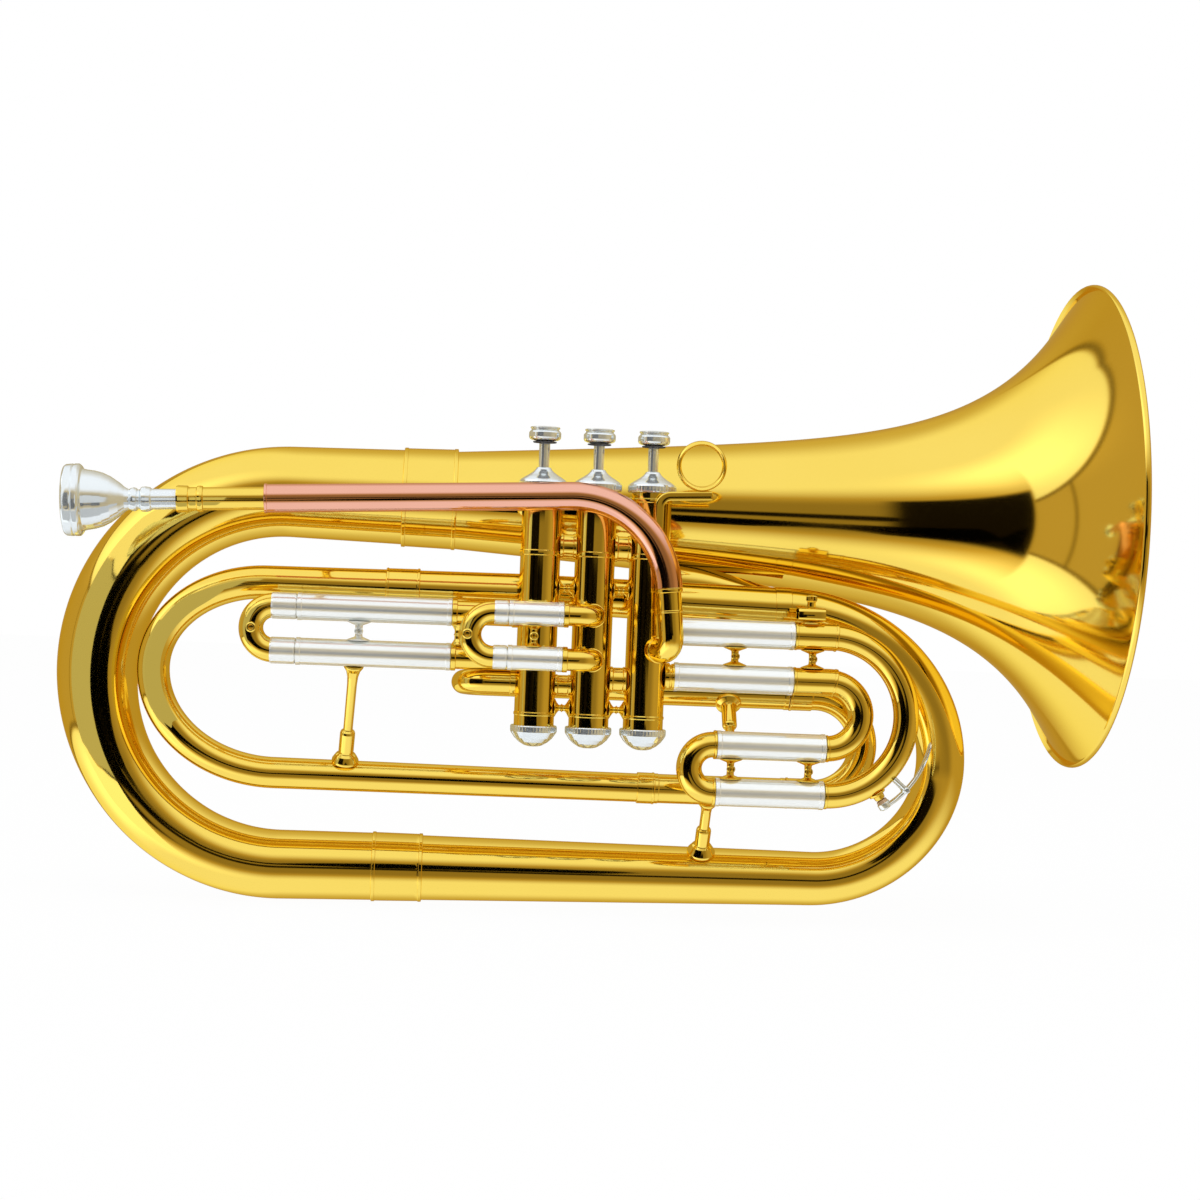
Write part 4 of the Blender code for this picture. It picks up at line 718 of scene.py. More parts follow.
def buildThirdSlide():
    s, body = thirdSlide, "third_slide_body"
    z1, z2, z3, z4 = s["z"]
    thirdBowPiece("thirdOuterBow", z1, z4, "third_slide_outer_bow")
    thirdBowPiece("thirdInnerBow", z2, z3, "third_slide_inner_bow")
    for tag, z, start in (("Upper", z1, s["start"]), ("Inner", z2, s["start"])):
        neckPiece("thirdNeck" + tag, np.array([(start - 0.4, 0, z), (start + 7.0, 0, z)]), None)
        sleevePiece("thirdSleeve" + tag, (start + 5.0, 0, z), (s["upperEnd"], 0, z), "third_sleeve_" + tag.lower())
    for tag, z in (("Third", z3), ("Fourth", z4)):
        sleevePiece("thirdSleeve" + tag, (s["lowerStart"], 0, z), (s["lowerEnd"], 0, z),
                    "third_sleeve_loop" if tag == "Third" else None)
    path = bowPath((s["lowerStart"], 0, z3), (s["lowerStart"], 0, z4), s["returnX"])
    length = pathLength(path)
    piece = tube("thirdReturnBow", path, [(0, tubeSize["bow"]), (length, tubeSize["bow"])], finish["brass"],
                 [(0, 1.8, 0.9), (length - 1.8, length, 0.9)], spacing=1.0)
    settle(piece, fixed, "lacquered_brass", "third_sleeve_loop")
    edge = 7.4
    saddleBrace("thirdBraceMoving", 122.5, 0, z1 - edge, z2 + edge, "brass", body, "lacquered_brass",
                nodes=("third_slide_brace",))
    saddleBrace("thirdBraceUpper", 79.4, 0, z1 - edge, z2 + edge, "brass", fixed, "lacquered_brass")
    for tag, x in (("Left", 79.4), ("Right", 122.5)):
        saddleBrace("thirdBraceLower" + tag, x, 0, z3 - edge, z4 + edge, "brass", fixed, "lacquered_brass")


tuning = dict(upper=-45.0, lower=-100.2, sleeve=8.2, leg=6.95, bow=8.0, start=40.0, mouth=114.2, bowX=130.0, legDepth=65.0)


def buildTuningSlide():
    s, y, body = tuning, layers["branch"], "tuning_slide_body"
    path = bowPath((s["mouth"] + 0.4, y, s["upper"]), (s["mouth"] + 0.4, y, s["lower"]), s["bowX"], 2.5)
    length = pathLength(path)
    collars = [(0, 13.0, 0.5), (length - 13.0, length, 0.5), (0, 1.5, 0.3), (length - 1.5, length, 0.3)]
    bow = tube("tuningBow", path, [(0, s["bow"]), (length, s["bow"])], finish["brass"], collars, spacing=1.5)
    settle(bow, body, "lacquered_brass", "tuning_slide")
    for tag in ("upper", "lower"):
        z = s[tag]
        legPiece("tuningLeg" + tag, s["mouth"] + 2.0, s["mouth"] - s["legDepth"], y, z, body, s["leg"])
        sleevePiece("tuningSleeve" + tag, (s["start"], y, z), (s["mouth"], y, z), "tuning_sleeve_" + tag, s["sleeve"],
                    "brass", "lacquered_brass")


buildFirstSlide()
buildSecondSlide()
buildThirdSlide()
buildTuningSlide()
print("slides ready")


# Water key and lyre holder, both on the third slide

waterKey = dict(arc=59.3, nipple=-55.0, pivot=-41.0, touch=-12.0, middleZ=-54.8, bowX=132.4, bow=43.8)


def keyPoint(degrees, reach):
    a = math.radians(degrees)
    return np.array([waterKey["bowX"] + reach * math.cos(a), 0.0, waterKey["middleZ"] + reach * math.sin(a)])


def buildWaterKey():
    # a lever that follows the bow, flat at the touch, with a cork cup over the nipple
    k, body = waterKey, "water_key_body"
    angles = np.radians(np.linspace(k["nipple"], k["touch"], 40))
    t = np.linspace(0, 1, 40)
    reach = k["arc"] + 0.6 * np.sin(t * math.pi)
    path = np.stack([k["bowX"] + reach * np.cos(angles), np.zeros(40), k["middleZ"] + reach * np.sin(angles)], 1)
    width = np.interp(t, [0, 0.12, 0.2, 0.35, 0.7, 0.8, 0.97, 1], [2.6, 2.6, 1.7, 2.0, 1.5, 3.4, 3.2, 0.6])
    thick = np.interp(t, [0, 0.3, 0.75, 0.97, 1], [1.2, 1.4, 1.1, 0.9, 0.4])
    centre, side, lift = pathFrames(path, travelled(path), (0, 1, 0))
    a = np.arange(24) * 2 * math.pi / 24
    grid = centre[:, None] + side[:, None] * (thick[:, None] * np.cos(a))[..., None]
    grid = grid + lift[:, None] * (width[:, None] * np.sin(a))[..., None]
    grid = np.concatenate([centre[:1, None].repeat(24, 1), grid, centre[-1:, None].repeat(24, 1)])
    piece = finishMesh("waterKeyLever", gridMesh("waterKeyLever", grid, False), finish["silver"])
    settle(piece, body, "silver_plate", "water_key")
    inward = unit(keyPoint(k["nipple"], k["bow"]) - keyPoint(k["nipple"], k["arc"]))
    cup = [(-1.4, 0), (-1.4, 2.4), (-0.6, 3.5), (2.6, 3.6), (2.6, 0)]
    piece = turned("waterKeyCup", keyPoint(k["nipple"], k["arc"]), inward, cup, finish["silver"], 0.4, 36)
    settle(piece, body, "silver_plate")
    cork = [(2.0, 0), (2.0, 3.1), (4.2, 3.0), (4.2, 0)]
    piece = turned("waterKeyCork", keyPoint(k["nipple"], k["arc"]), inward, cork, finish["cork"], 0.3, 32)
    settle(piece, body, "silver_plate")
    seat = [(0, 0), (0, 5.0), (1.2, 4.8), (1.8, 3.2), (4.2, 2.8), (4.2, 0)]
    piece = turned("waterNipple", keyPoint(k["nipple"], k["bow"] + 6.4), -inward, seat, finish["brass"], 0.3, 36)
    settle(piece, "third_slide_body", "lacquered_brass")
    hub = [(-3.2, 0), (-3.2, 1.3), (-2.4, 2.1), (2.4, 2.1), (3.2, 1.3), (3.2, 0)]
    piece = turned("waterKeyHub", keyPoint(k["pivot"], k["arc"]), (0, 1, 0), hub, finish["silver"], 0.3, 32)
    settle(piece, body, "silver_plate")
    pin = [(-5.2, 0), (-5.2, 1.3), (-4.4, 1.6), (4.4, 1.6), (5.2, 1.3), (5.2, 0)]
    for side in (-1, 1):
        foot = keyPoint(k["pivot"], k["bow"] + 6.8) + np.array([0, side * 3.9, 0])
        top = keyPoint(k["pivot"], k["arc"]) + np.array([0, side * 3.9, 0])
        ear = [(-0.6, 0), (-0.6, 1.5), (4.0, 1.3), (float(np.linalg.norm(top - foot)) + 1.5, 1.5),
               (float(np.linalg.norm(top - foot)) + 2.0, 0)]
        piece = turned("waterKeyEar%d" % (side + 2), foot, top - foot, ear, finish["silver"], 0.4, 24)
        settle(piece, "third_slide_body", "silver_plate", *(["water_key_saddle"] if side < 0 else []))
        ends = [(0, 0), (0, 1.5), (1.0, 1.7), (1.4, 1.2), (1.4, 0)]
        piece = turned("waterKeyPin%d" % (side + 2), keyPoint(k["pivot"], k["arc"]) + np.array([0, side * 5.2, 0]),
                       (0, side, 0), ends, finish["silver"], 0.3, 24)
        settle(piece, "third_slide_body", "silver_plate")


lyre = dict(x=120.8, z=1.0, size=(15.0, 11.0, 7.6), slot=(7.4, 4.8), bend=0.8)


def boxFrame(name, centre, size, slot, material):
    # a sleeve along x whose outside and slot are superellipses, |y/a|^n + |z/b|^n = 1, bridged at both ends
    def loop(w, h, power):
        t = np.arange(48) * 2 * math.pi / 48
        bent = [np.sign(part) * np.abs(part) ** (2 / power) for part in (np.cos(t), np.sin(t))]
        return np.stack([w / 2 * bent[0], h / 2 * bent[1]], 1)
    outer, inner = loop(size[1], size[2], 3.4), loop(slot[0], slot[1], 8.0)
    half = size[0] / 2
    rings = []
    for along, shape in ((-half + 0.3, outer), (half - 0.3, outer), (half, outer * 0.965), (half, inner), (-half, inner),
                         (-half, outer * 0.965)):
        rings.append(np.stack([np.full(len(shape), along), shape[:, 0], shape[:, 1]], 1))
    grid = np.stack(rings) + np.asarray(centre, float)
    return finishMesh(name, gridMesh(name, grid, True), material)


def buildLyreHolder():
    body = "third_slide_body"
    centre = (lyre["x"], 0, lyre["z"])
    piece = boxFrame("lyreHolder", centre, lyre["size"], lyre["slot"], finish["brass"])
    settle(piece, body, "silver_plate", "lyre_box")
    screw = [(5.1, 0), (5.1, 2.3), (8.0, 2.3), (8.6, 3.0), (9.6, 3.2), (11.2, 3.0), (12.0, 1.6), (12.1, 0)]
    piece = turned("lyreThumbScrew", (lyre["x"], 0, 0), up, screw, finish["brass"], 0.4, 96, flute=(24, 0.35, 8.4, 11.4))
    settle(piece, "lyre_screw_body", "steel", "lyre_screw")
    foot = [(-4.2, 0), (-4.2, 6.6), (-3.4, 6.4), (-2.9, 0)]
    piece = turned("lyreFoot", (lyre["x"], 0, 0), up, foot, finish["brass"], 0.3, 40)
    settle(piece, body, "silver_plate")


buildWaterKey()
buildLyreHolder()
print("water key and lyre holder ready")


# Conical tubing from valve 1 to the bell

branch = dict(topZ=7.0, middleZ=-42.0, bottomZ=-98.8, leftX=-241.0, topBendX=-180.0, bottomBendX=-172.0, dipX=-40.0,
              joinX=104.0, joinZ=4.0, startRadius=8.0, endRadius=11.6)
rightBow = dict(farX=205.8, middleZ=-84.0, topBendX=110.0, bottomBendX=134.6, endRadius=15.6, endX=118.0, endZ=-151.6)
bottom = dict(endX=-116.8, endZ=-152.6, endRadius=18.4, collarLength=28.8)
bellBow = dict(leftX=-275.8, bendX=-169.8, topZ=59.0, middleZ=-46.0, bottomZ=-153.1,
               radii=((0.0, 19.1), (0.21, 19.9), (0.34, 20.9), (0.46, 22.6), (0.60, 24.2), (0.80, 25.7), (1.0, 27.6)))
bell = dict(z=58.1, leftX=-77.0, ferruleX=-107.9, rimX=286.0, rimRadius=140.0, throat=27.8, taper=0.065,
            flareLength=49.2, wall=0.8, bead=2.1)


def buildCrook():
    left, y, front, z = -69.2, layers["branch"], 4.0, -42.6
    path = roundedPath([(-40.6, front, z), (left, front, z), (left, y, tuning["upper"]),
                        (tuning["start"] + 0.4, y, tuning["upper"])], 12.9, 4.0)
    length = pathLength(path)
    piece = tube("exitCrookTube", path, [(0, 6.6), (length, 6.6)], finish["brass"],
                 [(0, 3.4, 0.5), (length - 9.0, length, 0.8)], reference=(0, 0, 1), spacing=1.5)
    settle(piece, fixed, "lacquered_brass", "exit_crook")


def buildInnerBranch():
    b, y = branch, layers["branch"]
    loop = ovalBow((b["topBendX"], y, b["topZ"]), (b["bottomBendX"], y, b["bottomZ"]), b["leftX"], b["middleZ"])
    path = np.concatenate([[(tuning["start"] + 0.4, y, tuning["lower"])], loop[::-1],
                           [(b["dipX"], y, b["topZ"]), (b["joinX"] + 0.2, y, b["joinZ"])]])
    length = pathLength(path)
    base = [(0, b["startRadius"]), (length * 0.58, 9.3), (length, b["endRadius"])]
    topFerrule = length - (b["joinX"] + 114.5)
    collars = [(0, 10.0, 0.7), (0, 1.5, 0.25), (topFerrule, topFerrule + 19.0, 0.7),
               (topFerrule, topFerrule + 1.6, 0.3), (topFerrule + 17.4, topFerrule + 19.0, 0.3)]
    piece = tube("innerBranchTube", path, base, finish["brass"], collars, sides=56)
    settle(piece, fixed, "lacquered_brass", "inner_branch")


def buildRightBow():
    b = rightBow
    loop = ovalBow((b["topBendX"], layers["branch"], branch["joinZ"]), (b["bottomBendX"], layers["bell"], b["endZ"]),
                   b["farX"], b["middleZ"])
    start, end = (branch["joinX"], layers["branch"], branch["joinZ"]), (b["endX"], layers["bell"], b["endZ"])
    path = np.concatenate([[start], loop, [end]])
    piece = tube("rightBowTube", path, [(0, branch["endRadius"]), (None, b["endRadius"])], finish["brass"],
                 [(0, 9.0, 0.25)], sides=64, spacing=3.0)
    settle(piece, fixed, "lacquered_brass", "right_bow")


def buildBottomBranch():
    b, y = bottom, layers["bell"]
    path = np.array([(rightBow["endX"] + 0.2, y, rightBow["endZ"]), (b["endX"], y, b["endZ"])])
    length = pathLength(path)
    collar = length - b["collarLength"]
    base = [(0, rightBow["endRadius"]), (length, b["endRadius"] + 0.4)]
    collars = [(collar, length, 0.7), (collar, collar + 2.2, 0.35), (length - 2.2, length, 0.35)]
    piece = tube("bottomBranchTube", path, base, finish["brass"], collars, sides=64, spacing=4.0)
    settle(piece, fixed, "lacquered_brass", "bottom_branch")


def buildBellBow():
    b, y = bellBow, layers["bell"]
    loop = ovalBow((b["bendX"], y, b["topZ"]), (b["bendX"], y, b["bottomZ"]), b["leftX"], b["middleZ"], 1.5)
    end = (bell["leftX"] + 0.4, y, (b["topZ"] + bell["z"]) / 2)
    path = np.concatenate([[(bottom["endX"] + 0.4, y, bottom["endZ"])], loop[::-1], [end]])
    length = pathLength(path)
    collar = length - (bell["leftX"] - bell["ferruleX"])
    base = [(share * length, radius) for share, radius in b["radii"]]
    collars = [(collar, length, 1.0), (collar, collar + 2.4, 0.35), (length - 2.4, length, 0.35)]
    piece = tube("bellBowTube", path, base, finish["brass"], collars, sides=88, spacing=2.5)
    settle(piece, fixed, "lacquered_brass", "bell_bow")


def bellRadius(x):
    # a straight taper plus an exponential flare that ends at the rim
    taper = bell["throat"] + bell["taper"] * (x - bell["leftX"])
    atRim = bell["throat"] + bell["taper"] * (bell["rimX"] - bell["leftX"])
    return taper + (bell["rimRadius"] - atRim) * np.exp((x - bell["rimX"]) / bell["flareLength"])


def buildBell():
    # the outside to the rim, a rolled bead round it and the inside back to the throat
    share = np.linspace(0, 1, 150)
    x = bell["leftX"] + (bell["rimX"] - bell["bead"] - bell["leftX"]) * (1 - (1 - share) ** 1.7)
    scale = (bell["rimRadius"] - bell["bead"] * 1.3) / bellRadius(x[-1])
    outer = np.stack([x, bellRadius(x) * (1 + (scale - 1) * share ** 6)], 1)
    t = np.linspace(0.4, math.pi + 0.6, 14)
    beadCentre = np.array([bell["rimX"] - bell["bead"], bell["rimRadius"] - bell["bead"]])
    bead = beadCentre + bell["bead"] * np.stack([-np.cos(t), np.sin(t)], 1)
    inner = outer[::-2] - np.array([-0.25, bell["wall"]])
    outline = np.concatenate([outer, bead, inner])
    angle = np.arange(160) * 2 * math.pi / 160
    grid = np.stack([np.repeat(outline[:, :1], 160, 1), layers["bell"] + outline[:, 1:] * np.sin(angle)[None],
                     bell["z"] + outline[:, 1:] * np.cos(angle)[None]], -1)
    piece = finishMesh("bellFlare", gridMesh("bellFlare", grid, True), finish["brass"])
    settle(piece, fixed, "lacquered_brass", "bell")


buildCrook()
buildInnerBranch()
buildRightBow()
buildBottomBranch()
buildBellBow()
buildBell()
print("conical tubing and bell ready")


# Struts, finger ring and braces

def strutPiece(name, startAxis, startRadius, endAxis, endRadius, outline, material, slot, node):
    # a turned post from skin to skin, its feet sunk a little into both tubes
    start, end = np.asarray(startAxis, float), np.asarray(endAxis, float)
    way = unit(end - start)
    first, last = start + way * (startRadius - 0.6), end - way * (endRadius - 0.6)
    length = float(np.linalg.norm(last - first))
    points = [(0, 0)] + [(share * length, radius) for share, radius in outline] + [(length, 0)]
    piece = turned(name, first, way, points, material, 0.9, 40)
    settle(piece, fixed, slot, *([node] if node else []))


def buildStruts():
    long = [(0, 5.6), (0.02, 5.4), (0.06, 3.9), (0.12, 3.0), (0.2, 2.7), (0.66, 2.6), (0.68, 3.9), (0.70, 4.2),
            (0.88, 4.2), (0.90, 3.9), (0.92, 5.6), (0.97, 7.4), (1, 7.6)]
    strutPiece("longStrut", (-129.0, 0, -29.8), 7.7, (-133.5, 30, -98.8), 8.9, long, finish["brass"],
               "nickel_silver", "long_strut")
    short = [(0, 5.4), (0.05, 5.0), (0.12, 3.2), (0.2, 2.9), (0.5, 2.9), (0.53, 4.0), (0.56, 4.3), (0.82, 4.3),
             (0.85, 5.6), (0.95, 8.0), (1, 8.2)]
    strutPiece("shortStrut", (71.5, 30, -100.2), 8.2, (70.5, 60, -151.6), 16.4, short, finish["brass"],
               "nickel_silver", "short_strut")
    post = [(0, 7.4), (0.08, 7.2), (0.14, 4.6), (0.2, 4.1), (0.7, 4.1), (0.74, 3.6), (0.77, 2.5), (1, 2.5)]
    strutPiece("slidePost", (80.0, 30, -45.0), 8.2, (79.0, 0, -72.6), 7.7, post, finish["brass"],
               "nickel_silver", "slide_post")
    brace = [(0, 5.2), (0.04, 4.6), (0.12, 2.6), (0.5, 2.3), (0.88, 2.6), (0.95, 5.0), (1, 6.0)]
    leadZ = mouth["rimZ"] + 136.3 * mouth["slope"]
    strutPiece("leadpipeBrace", (-150, -22, leadZ), 7.65, (-150, 60, 59.0), 26.0, brace, finish["brass"],
               "nickel_silver", "leadpipe_brace")
    valveBrace = [(0, 4.6), (0.1, 4.2), (0.3, 2.2), (0.7, 2.2), (0.9, 4.8), (1, 5.4)]
    strutPiece("valveBrace", (-30, 0, 50.0), 11.0, (-45, 60, bell["z"]), 29.8, valveBrace, finish["brass"],
               "lacquered_brass", None)


web = dict(left=46.0, right=110.0, lowY=38.0, highY=42.0, bulge=1.4, thickness=1.6, sunk=0.7, fallFrom=60.0,
           fallBy=5.6)


def buildWeb():
    # a soldered web from the branch's top to the bell's underside: each section is a thin bowed strip, closed round
    w = web
    x = np.linspace(w["left"], w["right"], 44)
    share = (x - branch["dipX"]) / (branch["joinX"] - branch["dipX"])
    branchZ = branch["topZ"] + (branch["joinZ"] - branch["topZ"]) * np.minimum(share, 1.0)
    low = branchZ + np.sqrt(branch["endRadius"] ** 2 - (w["lowY"] - layers["branch"]) ** 2) - w["sunk"] * 1.6
    high = bell["z"] - np.sqrt(bellRadius(x) ** 2 - (layers["bell"] - w["highY"]) ** 2) + w["sunk"]
    fall = np.clip((x - w["fallFrom"]) / (w["right"] - w["fallFrom"]), 0, 1)
    high = high - w["fallBy"] * fall * fall * (3 - 2 * fall)
    t = np.linspace(0, 1, 13)
    front = w["lowY"] + (w["highY"] - w["lowY"]) * t - w["bulge"] * np.sin(t * math.pi)
    y = np.r_[front, front[::-1] + w["thickness"]]
    z = low[:, None] + (high - low)[:, None] * np.r_[t, t[::-1]][None]
    grid = np.stack([np.repeat(x[:, None], len(y), 1), np.repeat(y[None], len(x), 0), z], -1)
    centre = grid.mean(1, keepdims=True).repeat(len(y), 1)
    grid = np.concatenate([centre[:1], grid, centre[-1:]])
    piece = finishMesh("bellWeb", gridMesh("bellWeb", grid, False), finish["brass"])
    settle(piece, fixed, "lacquered_brass")


fingerRing = dict(x=55.4, y=-13.8, z=79.6, outer=13.8, inner=11.1, depth=5.0, strapHeight=5.0, strapDepth=2.4)


def buildFingerRing():
    # a half-round band ring standing on a strap that bends down the front of valve 3
    f = fingerRing
    t = np.linspace(0, 2 * math.pi, 16, endpoint=False)
    middle, thick = (f["outer"] + f["inner"]) / 2, (f["outer"] - f["inner"]) / 2
    outline = np.stack([f["depth"] / 2 * np.sin(t) * (1 - 0.15 * np.cos(t) ** 2), middle + thick * np.cos(t)], 1)
    angle = np.arange(96) * 2 * math.pi / 96
    grid = np.stack([f["x"] + outline[:, 1:] * np.cos(angle)[None], np.repeat(f["y"] + outline[:, :1], 96, 1),
                     f["z"] + outline[:, 1:] * np.sin(angle)[None]], -1)
    ring = finishMesh("fingerRingBand", gridMesh("fingerRingBand", grid, True), finish["brass"])
    settle(ring, fixed, "silver_plate", "finger_hook")
    path = roundedPath([(62.2, f["y"], 63.6), (33.3, f["y"], 62.2), (33.3, f["y"], 40.0)], 6.0, 6.0)
    along = travelled(path)
    rounding = np.array([0.0, 0.08, 0.25, 0.5, 0.8])
    stations = np.r_[rounding, np.linspace(1.6, along[-1] - 1.6, 56), along[-1] - rounding[::-1]]
    centre, side, lift = pathFrames(path, stations, (0, 1, 0))
    a = np.arange(20) * 2 * math.pi / 20
    ends = np.clip(np.minimum(stations, along[-1] - stations) / 0.8, 0, 1)
    ends = np.sqrt(1 - (1 - ends) ** 2)
    square = np.sign(np.cos(a)) * np.abs(np.cos(a)) ** 0.5, np.sign(np.sin(a)) * np.abs(np.sin(a)) ** 0.5
    grid = centre[:, None] + side[:, None] * (ends[:, None] * f["strapHeight"] / 2 * square[0])[..., None]
    grid = grid + lift[:, None] * (ends[:, None] * f["strapDepth"] / 2 * square[1])[..., None]
    strap = finishMesh("fingerRingStrap", gridMesh("fingerRingStrap", grid, False), finish["brass"])
    settle(strap, fixed, "silver_plate")


buildStruts()
buildWeb()
buildFingerRing()
print("struts and finger ring ready")


# Camera at the photograph's angle

camera = dict(place=(-81.8, -1287.4, 4.5), yaw=3.8, roll=2.3, lens=70.5)


def placeCamera():
    data = bpy.data.cameras.new("photoCamera")
    data.lens = camera["lens"]
    data.sensor_width = 36.0
    data.clip_start, data.clip_end = 0.05, 60.0
    seen = bpy.data.objects.new("photoCamera", data)
    bpy.context.scene.collection.objects.link(seen)
    yaw, roll = math.radians(camera["yaw"]), math.radians(camera["roll"])
    forward = np.array([math.sin(yaw), math.cos(yaw), 0])
    right = np.array([math.cos(yaw), -math.sin(yaw), 0])
    lift = np.array([0, 0, 1.0])
    across = right * math.cos(roll) + lift * math.sin(roll)
    above = lift * math.cos(roll) - right * math.sin(roll)
    place = np.array(camera["place"]) * mm
    rows = [[across[k], above[k], -forward[k], place[k]] for k in range(3)] + [[0, 0, 0, 1]]
    seen.matrix_world = Matrix(rows)
    bpy.context.scene.camera = seen


# Studio: metal reflects a bright sweep above and below a duller band at its own height, with plain walls to the left
# and a dark opening beside the lens; matt surfaces get plain level light, and the camera sees white

studio = dict(floorDrop=0.6, floorHalf=6.0, plainLevel=0.80, horizonLevel=0.28, sideLevel=0.50, wallLevel=0.52,
              brightFrom=12.0, brightTo=42.0, lowerLag=6.0, behindLoss=0.70,
              wallFrom=-61.0, wallBack=-130.0, wallTopFront=13.0, wallTopBack=34.0, wallFoot=-18.0, wallEdge=1.2,
              seamAzimuth=-79.0, seamHalfWidth=1.8, seamDepth=0.45,
              darkLeft=-60.0, darkRight=-14.0, darkTop=20.0, darkFoot=-22.0,
              stripAzimuth=-1.0, stripHalfWidth=14.0, stripTop=0.5, stripFoot=-6.0,
              glowAzimuth=-65.0, glowHeight=36.0, glow=0.5)
# cards in front of the left bends: the plane's y, a tone, how far off a tube may be that shows it, (x, z) corners
cards = dict(
    blackCard=(-420.0, 0.0, 2000.0, (
        (-379, -89), (-389, -40), (-430, -3), (-372, 16), (-294, -17), (-199, -85), (-160, -45), (-104, -12), (4, -26),
        (77, -41), (89, -85), (58, -139), (-45, -142), (-119, -148), (-203, -112), (-317, -184), (-412, -217),
        (-431, -199), (-376, -142))),
    receiverCard=(-100.0, 0.62, 460.0, ((-275, 30), (-195, 30), (-195, 65), (-275, 65))),
    wallCard=(-100.0, 0.52, 460.0, (
        (-307, 10), (-318, 15), (-351, 35), (-415, 83), (-700, 240), (-700, -262), (-530, -212), (-440, -197),
        (-358, -162), (-307, -140))),
    upperCard=(-100.0, 1.0, 460.0, (
        (-307, 14), (-318, 19), (-351, 39), (-415, 87), (-700, 244), (-700, 400), (-307, 170))),
    lowerCard=(-100.0, 1.25, 460.0, (
        (-307, -144), (-358, -166), (-440, -201), (-530, -216), (-700, -266), (-700, -420), (-307, -330))),
    branchCard=(8.0, 0.5, 25.0, (
        (-202, 8), (-205, -20), (-206, -40), (-208, -56), (-226, -70), (-232, -78), (-300, -78), (-300, 12))),
    firstBowCard=(-50.0, 0.5, 84.0, ((-290, -19), (-200, -19), (-200, 32), (-290, 32))),
    secondBowCard=(-50.0, 0.5, 41.0, ((-115, -18), (-77, -18), (-77, 6), (-115, 6))),
)


def formula(tree, operation, *terms):
    # a maths node whose terms are numbers or outputs of other nodes
    node = tree.nodes.new("ShaderNodeMath")
    node.operation = operation
    for slot, term in zip(node.inputs, terms):
        if isinstance(term, (int, float)):
            slot.default_value = term
        else:
            tree.links.new(term, slot)
    return node.outputs[0]


def softStep(tree, value, start, end, low=0.0, high=1.0, kind="SMOOTHSTEP"):
    # low at start and before it, high at end and past it, eased in between
    node = tree.nodes.new("ShaderNodeMapRange")
    node.interpolation_type = kind
    for label, number in (("From Min", start), ("From Max", end), ("To Min", low), ("To Max", high)):
        node.inputs[label].default_value = number
    tree.links.new(value, node.inputs["Value"])
    return node.outputs[0]


def blendLevels(tree, share, without, fully):
    # without where the share is 0, fully where it is 1
    spread = formula(tree, "SUBTRACT", fully, without)
    return formula(tree, "ADD", formula(tree, "MULTIPLY", share, spread), without)


def reflectedTone(tree, level):
    # 0 is near black, 0.5 a warm half light, 1 white
    tone = addNode(tree, "ShaderNodeValToRGB")
    tone.color_ramp.elements[0].color = (0.006, 0.004, 0.002, 1)
    tone.color_ramp.elements[1].color = (1.0, 1.0, 1.0, 1)
    middle = tone.color_ramp.elements.new(0.5)
    middle.color = (0.50, 0.36, 0.125, 1)
    tree.links.new(level, tone.inputs["Fac"])
    return tone.outputs["Color"]


